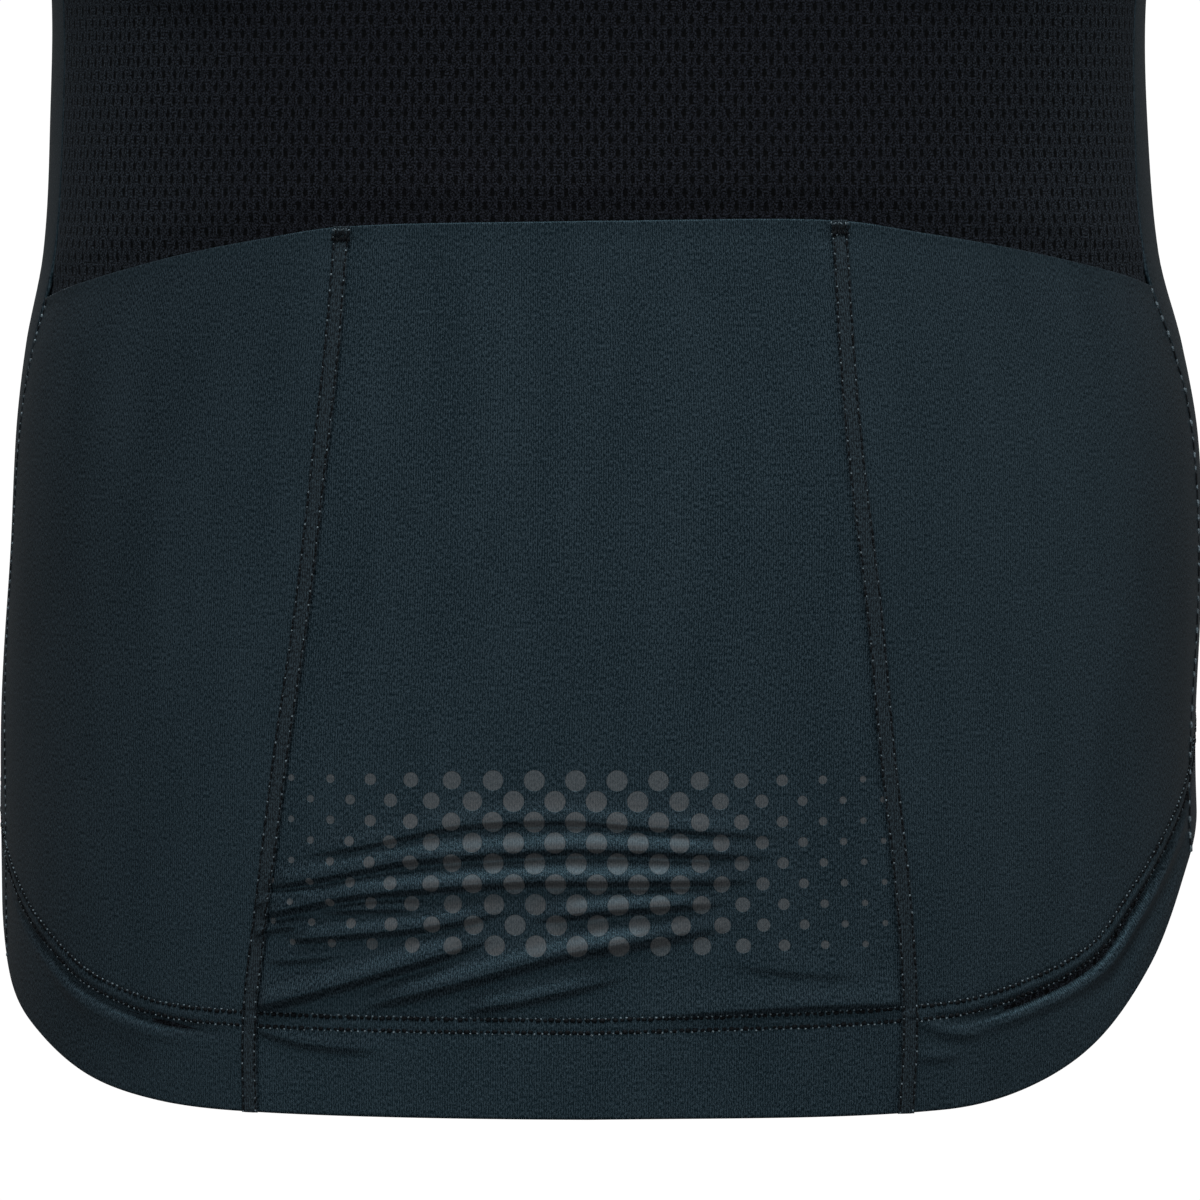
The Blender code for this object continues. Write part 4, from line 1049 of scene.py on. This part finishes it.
def zip_path():
    """Points and outward normals up the zip's middle line, from the hem to the collar's top."""
    edge = surface(*beside_zip(ZIP_HALF_OPENING, np.linspace(0, 4, 500)))
    collar_edge = collar_rise(neckline(), neck_middle(), np.linspace(0, 1, 60)[1:, None, None])[:, 0]
    path = np.concatenate((edge, collar_edge))
    path[:, 0] = 0.0
    up = unit(np.gradient(path, axis=0))
    return path, np.stack((np.zeros(len(up)), -up[:, 2], up[:, 1]), -1)


def zip_backing():
    """A strip of tape behind the teeth, which bridges the two tapes."""
    path, out = (row[4:-3:4] for row in zip_path())
    across = np.array((1.0, 0.0, 0.0)) * (ZIP_BACKING / 2 * np.linspace(-1, 1, 5))[None, :, None]
    behind, thick = CHAIN_OUT - CHAIN_THICK, 0.0002
    faces = [path[:, None] + across + out[:, None] * (behind + depth) for depth in (thick, 0.0)]
    uv = np.stack(np.broadcast_arrays(across[..., 0], lengths(path)[:, None]), -1)
    return on_jersey(wall("zip_backing", *faces, "zip_tape_weave", uv), "zip_black")


def zip_teeth():
    """Two interlocked rows of coil teeth, one from each tape, and the retaining box at the hem."""
    path, out = zip_path()
    run = lengths(path)
    slider = run[-1] - 0.0040
    across = np.array((1.0, 0.0, 0.0))
    parts = []
    for side in (-1, 1):
        places = np.arange(0.0085 + (side > 0) * TOOTH_PITCH / 2, slider, TOOTH_PITCH)
        normal = unit(points_at(run, out, places))
        centre = points_at(run, path, places) + normal * (CHAIN_OUT - CHAIN_THICK / 2) + across * side * 0.00095
        tangent = np.broadcast_to(across * side, centre.shape)
        parts.append(capsules(centre, tangent, normal, TOOTH[0], TOOTH[1], 0.25))
    box = path[np.searchsorted(run, 0.0042)] + out[0] * (CHAIN_OUT - CHAIN_THICK / 2)
    up = unit(path[30] - path[10])
    for side in (-1, 1):
        centre = (box + across * side * 0.0012)[None]
        parts.append(capsules(centre, up[None], out[:1], 0.0080, 0.0026, 0.0))
    piece = joined("zip_teeth", parts, "zip_plastic", "zip_black")
    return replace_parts(piece, "zip_chain")


# Materials


class Nodes:
    """A short way to write a material's node tree."""

    def __init__(self, name):
        self.material = bpy.data.materials.new(name)
        self.material.use_nodes = True
        self.tree = self.material.node_tree
        self.shader = self.tree.nodes["Principled BSDF"]

    def add(self, kind, **settings):
        node = self.tree.nodes.new(kind)
        for key, value in settings.items():
            setattr(node, key, value)
        return node

    def feed(self, socket, value):
        """Links a socket to another one, or sets it to a number or a colour of three numbers."""
        if isinstance(value, bpy.types.NodeSocket):
            self.tree.links.new(value, socket)
        else:
            socket.default_value = (*value, 1.0) if isinstance(value, tuple) else value

    def maths(self, operation, *values):
        node = self.add("ShaderNodeMath", operation=operation)
        for socket, value in zip(node.inputs, values):
            self.feed(socket, value)
        return node.outputs[0]


    def cloth_place(self):
        """The two distances along the cloth, in metres."""
        node = self.add("ShaderNodeUVMap", uv_map="cloth")
        split = self.add("ShaderNodeSeparateXYZ")
        self.feed(split.inputs[0], node.outputs[0])
        return split.outputs[0], split.outputs[1]

    def place(self, across, up):
        node = self.add("ShaderNodeCombineXYZ")
        self.feed(node.inputs[0], across)
        self.feed(node.inputs[1], up)
        return node.outputs[0]

    def noise(self, vector, scale, detail=2.0, roughness=0.5):
        node = self.add("ShaderNodeTexNoise")
        self.feed(node.inputs["Vector"], vector)
        node.inputs["Scale"].default_value = scale
        node.inputs["Detail"].default_value = detail
        node.inputs["Roughness"].default_value = roughness
        return node.outputs[0]

    def ramp(self, value, low, high, to_low=0.0, to_high=1.0):
        node = self.add("ShaderNodeMapRange", interpolation_type="SMOOTHSTEP")
        for socket, number in zip(node.inputs, (value, low, high, to_low, to_high)):
            self.feed(socket, number)
        return node.outputs[0]

    def mix(self, share, first, second):
        node = self.add("ShaderNodeMix", data_type="RGBA")
        self.feed(node.inputs["Factor"], share)
        colours = [s for s in node.inputs if s.type == "RGBA"]
        for socket, colour in zip(colours, (first, second)):
            self.feed(socket, colour)
        return [s for s in node.outputs if s.type == "RGBA"][0]

    def bump(self, height, strength, distance):
        node = self.add("ShaderNodeBump")
        node.inputs["Strength"].default_value = strength
        node.inputs["Distance"].default_value = distance
        self.feed(node.inputs["Height"], height)
        return node.outputs[0]

    def staggered(self, places, pitches, sizes):
        """For two sets of points, the second midway between the first: how far the nearest point is, in sizes, and
        its number each way, with the shift between the sets."""
        for shift in (0.0, 0.5):
            cells = [self.maths("ADD", self.maths("DIVIDE", *pair), shift) for pair in zip(places, pitches)]
            near = [self.maths("ROUND", cell) for cell in cells]
            offs = [self.maths("MULTIPLY", self.maths("SUBTRACT", cell, at), pitch / size)
                    for cell, at, pitch, size in zip(cells, near, pitches, sizes)]
            squares = self.maths("ADD", *(self.maths("MULTIPLY", off, off) for off in offs))
            yield self.maths("SQRT", squares), near, shift

    def finish(self, colour, roughness, normal=None, **settings):
        """Sets the shader; names of settings are its inputs' with _ for a space."""
        inputs = self.shader.inputs
        self.feed(inputs["Base Color"], colour)
        self.feed(inputs["Roughness"], roughness)
        if normal is not None:
            self.feed(inputs["Normal"], normal)
        for key, value in settings.items():
            self.feed(inputs[key.replace("_", " ")], value)


def wales(nodes, across, up):
    """Height of fine upright knit ribs, each broken up along its length."""
    rib = nodes.maths("SINE", nodes.maths("MULTIPLY", across, 2 * math.pi / WALE_PITCH))
    loops = nodes.noise(nodes.place(across, nodes.maths("MULTIPLY", up, 0.42)), 2600.0, 2.0, 0.8)
    return nodes.maths("ADD", nodes.maths("MULTIPLY", rib, 0.05), loops)


def petrol_knit(name, dots):
    """A smooth fine-ribbed knit, dark petrol with a bluish sheen on its ribs."""
    nodes = Nodes(name)
    across, up = nodes.cloth_place()
    rib = wales(nodes, across, up)
    broad = nodes.noise(nodes.place(across, nodes.maths("MULTIPLY", up, 0.25)), 60.0, 3.0, 0.6)
    darkest, brightest = (0.45, 0.69) if dots else (0.41, 0.73)
    share = nodes.ramp(nodes.maths("ADD", rib, nodes.maths("MULTIPLY", broad, 0.09)), darkest, brightest)
    # The ribs' colour runs from near black to light blue: partly the knit's own tone, partly painted sheen on each
    # rib
    colour = nodes.mix(share, (0.0002, 0.0011, 0.0023), (0.0320, 0.0480, 0.0605))
    height = rib
    if dots:
        mask = dot_mask(nodes, across, up)
        film = nodes.mix(nodes.ramp(rib, 0.3, 0.7), (0.040, 0.043, 0.046), (0.086, 0.090, 0.094))
        colour = nodes.mix(mask, colour, film)
        height = nodes.maths("MULTIPLY", rib, nodes.maths("SUBTRACT", 1.0, nodes.maths("MULTIPLY", mask, 0.7)))
    normal = nodes.bump(height, 0.8, 0.00025)
    nodes.finish(colour, nodes.ramp(rib, 0.3, 0.7, 0.46, 0.38), normal, Specular_IOR_Level=0.27,
                 Specular_Tint=(0.38, 0.78, 1.0))


def dot_mask(nodes, across, up):
    """1 on the reflective dots: staggered discs that grow smaller towards both ends of their field."""
    middle_x, middle_z, *halves = DOT_FIELD
    x = nodes.maths("SUBTRACT", across, middle_x)
    z = nodes.maths("SUBTRACT", up, float(np.interp(middle_z, RISE_LEVELS, RISE_LENGTHS)))
    masks = []
    for distance, near, shift in nodes.staggered((x, z), DOT_PITCH, (1, 1)):
        ends = [
            nodes.maths("ABSOLUTE", nodes.maths("MULTIPLY", nodes.maths("SUBTRACT", at, shift), pitch / half))
            for at, pitch, half in zip(near, DOT_PITCH, halves)
        ]
        inside = nodes.maths("LESS_THAN", nodes.maths("MAXIMUM", *ends), 1.0)
        radius = nodes.ramp(ends[0], 0.15, 1.0, *DOT_RADII)
        disc = nodes.ramp(nodes.maths("SUBTRACT", radius, distance), -DOT_BLUR, DOT_BLUR)
        masks.append(nodes.maths("MULTIPLY", inside, disc))
    return nodes.maths("MAXIMUM", *masks)


def open_mesh():
    """An open mesh knit: staggered upright holes in a matt black cloth."""
    nodes = Nodes("open_mesh")
    across, up = nodes.cloth_place()
    holes = [distance for distance, _, _ in nodes.staggered((across, up), MESH_PITCH, MESH_HOLE)]
    speck = nodes.noise(nodes.place(across, up), 2000.0, 2.0, 0.7)
    ragged = nodes.maths("ADD", nodes.maths("MINIMUM", *holes), nodes.maths("MULTIPLY", speck, 0.3))
    hole = nodes.ramp(ragged, 0.70, 1.35, 0.90, 0.0)
    groove = nodes.maths("COSINE", nodes.maths("MULTIPLY", across, 4 * math.pi / MESH_PITCH[0]))
    speck = nodes.maths("SUBTRACT", speck, nodes.maths("MULTIPLY", groove, 0.015))
    # Painted sheen: the cloth's lighter flecks are painted lighter the farther across from the centre back, for the
    # sheen where the mesh turns away at the sides
    sheen_towards_sides = nodes.ramp(nodes.maths("MULTIPLY", across, across), 0.004, 0.040)
    fleck_with_painted_sheen = nodes.mix(sheen_towards_sides, (0.0225, 0.0265, 0.0365), (0.0530, 0.0690, 0.0860))
    cloth_colour = nodes.mix(nodes.ramp(speck, 0.42, 0.68), (0.0002, 0.0003, 0.0006), fleck_with_painted_sheen)
    colour = nodes.mix(hole, cloth_colour, (0.0002, 0.0003, 0.0005))
    height = nodes.maths("SUBTRACT", nodes.maths("MULTIPLY", speck, 0.3), hole)
    nodes.finish(colour, 0.82, nodes.bump(height, 0.5, 0.00035), Specular_IOR_Level=0.06,
                 Sheen_Weight=0.02, Sheen_Roughness=0.5, Sheen_Tint=(0.7, 0.85, 1.0))


def strip_knit():
    nodes = Nodes("strip_knit")
    across, up = nodes.cloth_place()
    rib = wales(nodes, across, up)
    # The ribs' colour runs from near black to light blue: partly the knit's own tone, partly painted sheen on each
    # rib
    colour = nodes.mix(nodes.ramp(rib, 0.38, 0.70), (0.0008, 0.0020, 0.0034), (0.0330, 0.0520, 0.0650))
    nodes.finish(colour, 0.5, nodes.bump(rib, 0.6, 0.00020), Specular_IOR_Level=0.20, Specular_Tint=(0.7, 0.88, 1.0))


def grained(name, scale, detail, colours, roughness, bump, ramp=None, **settings):
    """A material of one fine noise, which its colour, its height and, between two values, its roughness follow."""
    nodes = Nodes(name)
    grain = nodes.noise(nodes.add("ShaderNodeTexCoord").outputs["Object"], scale, detail)
    rough = nodes.ramp(grain, 0.3, 0.7, *roughness) if isinstance(roughness, tuple) else roughness
    colour = nodes.mix(nodes.ramp(grain, *ramp) if ramp else grain, *colours)
    nodes.finish(colour, rough, nodes.bump(grain, *bump), **settings)


def plain_materials():
    twist = {"scale": 2600.0, "detail": 1.0, "roughness": 0.6, "bump": (0.4, 0.0001), "ramp": (0.35, 0.7)}
    for name, dark, light, gloss in (
        ("thread", (0.040, 0.056, 0.068), (0.190, 0.260, 0.300), 0.35),
        # Dark thread, which also serves as painted shade in the grooves where stitches sink into the cloth
        ("thread_dark", (0.0008, 0.0014, 0.0020), (0.0060, 0.0090, 0.0120), 0.10),
    ):
        grained(name, colours=(dark, light), Specular_IOR_Level=gloss, **twist)
    grained("zip_tape_weave", 1400.0, 2.0, ((0.0050, 0.0052, 0.0056), (0.0200, 0.0205, 0.0215)), 0.75, (0.4, 0.0002),
            Specular_IOR_Level=0.3)
    grained("zip_plastic", 600.0, 3.0, ((0.0080, 0.0082, 0.0088), (0.0160, 0.0165, 0.0175)), (0.32, 0.5),
            (0.15, 0.0001), Specular_IOR_Level=0.5)
    grained("zip_lacquer", 900.0, 3.0, ((0.022, 0.023, 0.025), (0.045, 0.047, 0.050)), (0.28, 0.42), (0.1, 0.00005),
            Metallic=0.6)


# Studio


AMBIENT = 0.13  # strength of the even light from the room
BACKDROP = 1.05  # and of the backdrop that the camera sees
FLOOR_HALF, FLOOR_LEVEL, FLOOR_FADE = 4.5, -1.45, (2.6, 4.4)
Lamp = namedtuple("Lamp", "name place target size power")
LAMPS = (
    Lamp("top", (0.0, 1.3, 2.6), (0.0, 0.0, -0.5), 1.6, 106.0),
    Lamp("low", (0.0, 2.8, -1.15), (0.0, 0.1, -0.62), 1.6, 14.0),
    Lamp("low_left", (2.2, 2.0, -1.2), (0.0, 0.0, -0.55), 1.6, 12.0),
    Lamp("side_right", (-2.6, 0.9, -0.3), (0.0, 0.0, -0.5), 1.2, 10.0),
    Lamp("front", (0.6, -2.5, 1.6), (0.0, -0.1, -0.4), 1.6, 60.0),
)
SENSOR = 36.0
VIEW = (181.8, 3.0, 2.2)  # the camera's azimuth and elevation in degrees, and its distance along the ground
VIEW_AIM, VIEW_WIDTH = (0.0, 0.0, -0.562), 0.336


def aimed(thing, place, direction):
    thing.location = place
    thing.rotation_mode = "QUATERNION"
    thing.rotation_quaternion = direction.to_track_quat("-Z", "Y")


def studio():
    mesh = bpy.data.meshes.new("floor")
    corners = [(x * FLOOR_HALF, y * FLOOR_HALF, 0) for x, y in ((-1, -1), (1, -1), (1, 1), (-1, 1))]
    mesh.from_pydata(corners, [], [(0, 1, 2, 3)])
    floor = placed("floor", mesh)
    floor.location.z = FLOOR_LEVEL
    nodes = Nodes("pale_floor")
    distance = nodes.add("ShaderNodeVectorMath", operation="LENGTH")
    nodes.feed(distance.inputs[0], nodes.add("ShaderNodeTexCoord").outputs["Object"])
    nodes.finish((0.80, 0.81, 0.82), 0.8, Specular_IOR_Level=0.1, Emission_Color=(1.0, 1.0, 1.0),
                 Emission_Strength=0.34, Alpha=nodes.ramp(distance.outputs["Value"], *FLOOR_FADE, 1.0, 0.0))
    mesh.materials.append(nodes.material)
    floor.visible_diffuse = floor.visible_glossy = False

    world = bpy.data.worlds.new("studio")
    bpy.context.scene.world = world
    world.use_nodes = True
    tree = world.node_tree
    backdrop = tree.nodes["Background"]
    seen = tree.nodes.new("ShaderNodeLightPath")
    strength = tree.nodes.new("ShaderNodeMapRange")
    tree.links.new(seen.outputs["Is Camera Ray"], strength.inputs["Value"])
    strength.inputs["To Min"].default_value, strength.inputs["To Max"].default_value = AMBIENT, BACKDROP
    backdrop.inputs["Color"].default_value = (1.0, 1.0, 1.0, 1.0)
    tree.links.new(strength.outputs[0], backdrop.inputs["Strength"])

    for lamp in LAMPS:
        data = bpy.data.lights.new(lamp.name, "AREA")
        data.shape, data.size, data.energy = "DISK", lamp.size, lamp.power
        aimed(placed(lamp.name, data), lamp.place, Vector(lamp.target) - Vector(lamp.place))


def camera():
    """A long lens level with the pockets, a little above them, behind the wearer."""
    azimuth, elevation = (math.radians(angle) for angle in VIEW[:2])
    flat = math.cos(elevation)
    back = Vector((math.sin(azimuth) * flat, -math.cos(azimuth) * flat, math.sin(elevation)))
    data = bpy.data.cameras.new("camera")
    far = VIEW[2] / flat
    data.sensor_width = SENSOR
    data.lens = SENSOR * far / VIEW_WIDTH
    view = placed("camera", data)
    aimed(view, Vector(VIEW_AIM) + back * far, -back)
    bpy.context.scene.camera = view


# Each cloth piece: the node that it stands for, its finish's slot, the flat size it is cut to, and the share of
# that rectangle that the cut takes up
Cut = namedtuple("Cut", "piece node slot width length share")
CUTS = (
    Cut("mesh_back", "back", "black_mesh", 0.430, 0.700, 0.88),
    Cut("pocket_cloth_centre", "pocket_centre", "petrol_jersey", 0.180, 0.245, 0.90),
    Cut("pocket_cloth", "pocket", "petrol_jersey", 0.125, 0.240, 0.85),
    Cut("front_cloth", "front", "petrol_jersey", 0.235, 0.640, 0.84),
    Cut("sleeve_cloth", "sleeve", "petrol_jersey", 0.400, 0.260, 0.75),
    Cut("collar_cloth", "collar", "petrol_jersey", 0.400, 0.040, 0.95),
)


def sewn_up(pieces, sewing):
    """Ties each cloth piece to its body and its node. The sewing argument, strips and all, is not used."""
    for cut in CUTS:
        paired = cut.node in ("pocket", "front", "sleeve")
        for tail in ("_left", "_right") if paired else ("",):
            piece = pieces[cut.piece + tail]
            on_jersey(piece, cut.slot, cut.node + tail)


def main():
    petrol_knit("petrol_knit", False)
    petrol_knit("petrol_knit_dots", True)
    open_mesh()
    strip_knit()
    plain_materials()

    made = [back_panel(), centre_pocket()]
    strips, tapes, light, dark, plain = [], [], [], [], []
    for side in SIDES:
        sleeve_piece, tape, sleeve_rows = sleeve(side)
        tapes.append(tape)
        made += [front_panel(side), side_pocket(side), sleeve_piece]
        for path, normal, stitch, hole in sleeve_rows:
            light.append((path, normal, stitch))
            if hole:
                dark.append((path, normal, hole))
        strips.append(on_jersey(seam_strip(side), "seam_strip", sided_name("seam_strip", side)))
        for row in strip_rows(side):
            light.append((*row, STRIP_STITCH))
            dark.append((*row, STRIP_HOLE))
        light.append((*side_row(side), SIDE_STITCH[side]))
        dark.append((*side_row(side), SIDE_HOLE[side]))
        plain += [(*zip_row(side), PLAIN_STITCH), (*shoulder_row(side), PLAIN_STITCH)]
    for path, normal, stitch in hem_rows():
        (dark if stitch is HEM_HOLE else light).append((path, normal, stitch))
    collar_piece, tape, collar_rows = collar()
    tapes.append(tape)
    made.append(collar_piece)
    plain += [(*row, PLAIN_STITCH) for row in collar_rows]
    # The dark rows of stitch holes are partly thread and partly painted shade
    sewing = [stitching("stitches", light, "thread"), stitching("stitch_holes_and_shade", dark, "thread_dark", 0.15, 0.35)]
    sewing += [stitching("topstitches", plain, "thread"), *bartacks()]
    zip_teeth()
    sewn_up({piece.name: piece for piece in made}, strips + tapes + sewing + [zip_backing()])

    for node, finish in (
        ("zip_tape_left", "zip_tape_weave"), ("zip_tape_right", "zip_tape_weave"),
        ("zip_slider", "zip_lacquer"), ("zip_pull", "zip_lacquer"),
    ):
        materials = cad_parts[node].data.materials
        materials.clear()
        materials.append(bpy.data.materials[finish])
    studio()
    camera()
    bpy.context.scene.view_settings.view_transform = "Standard"


main()
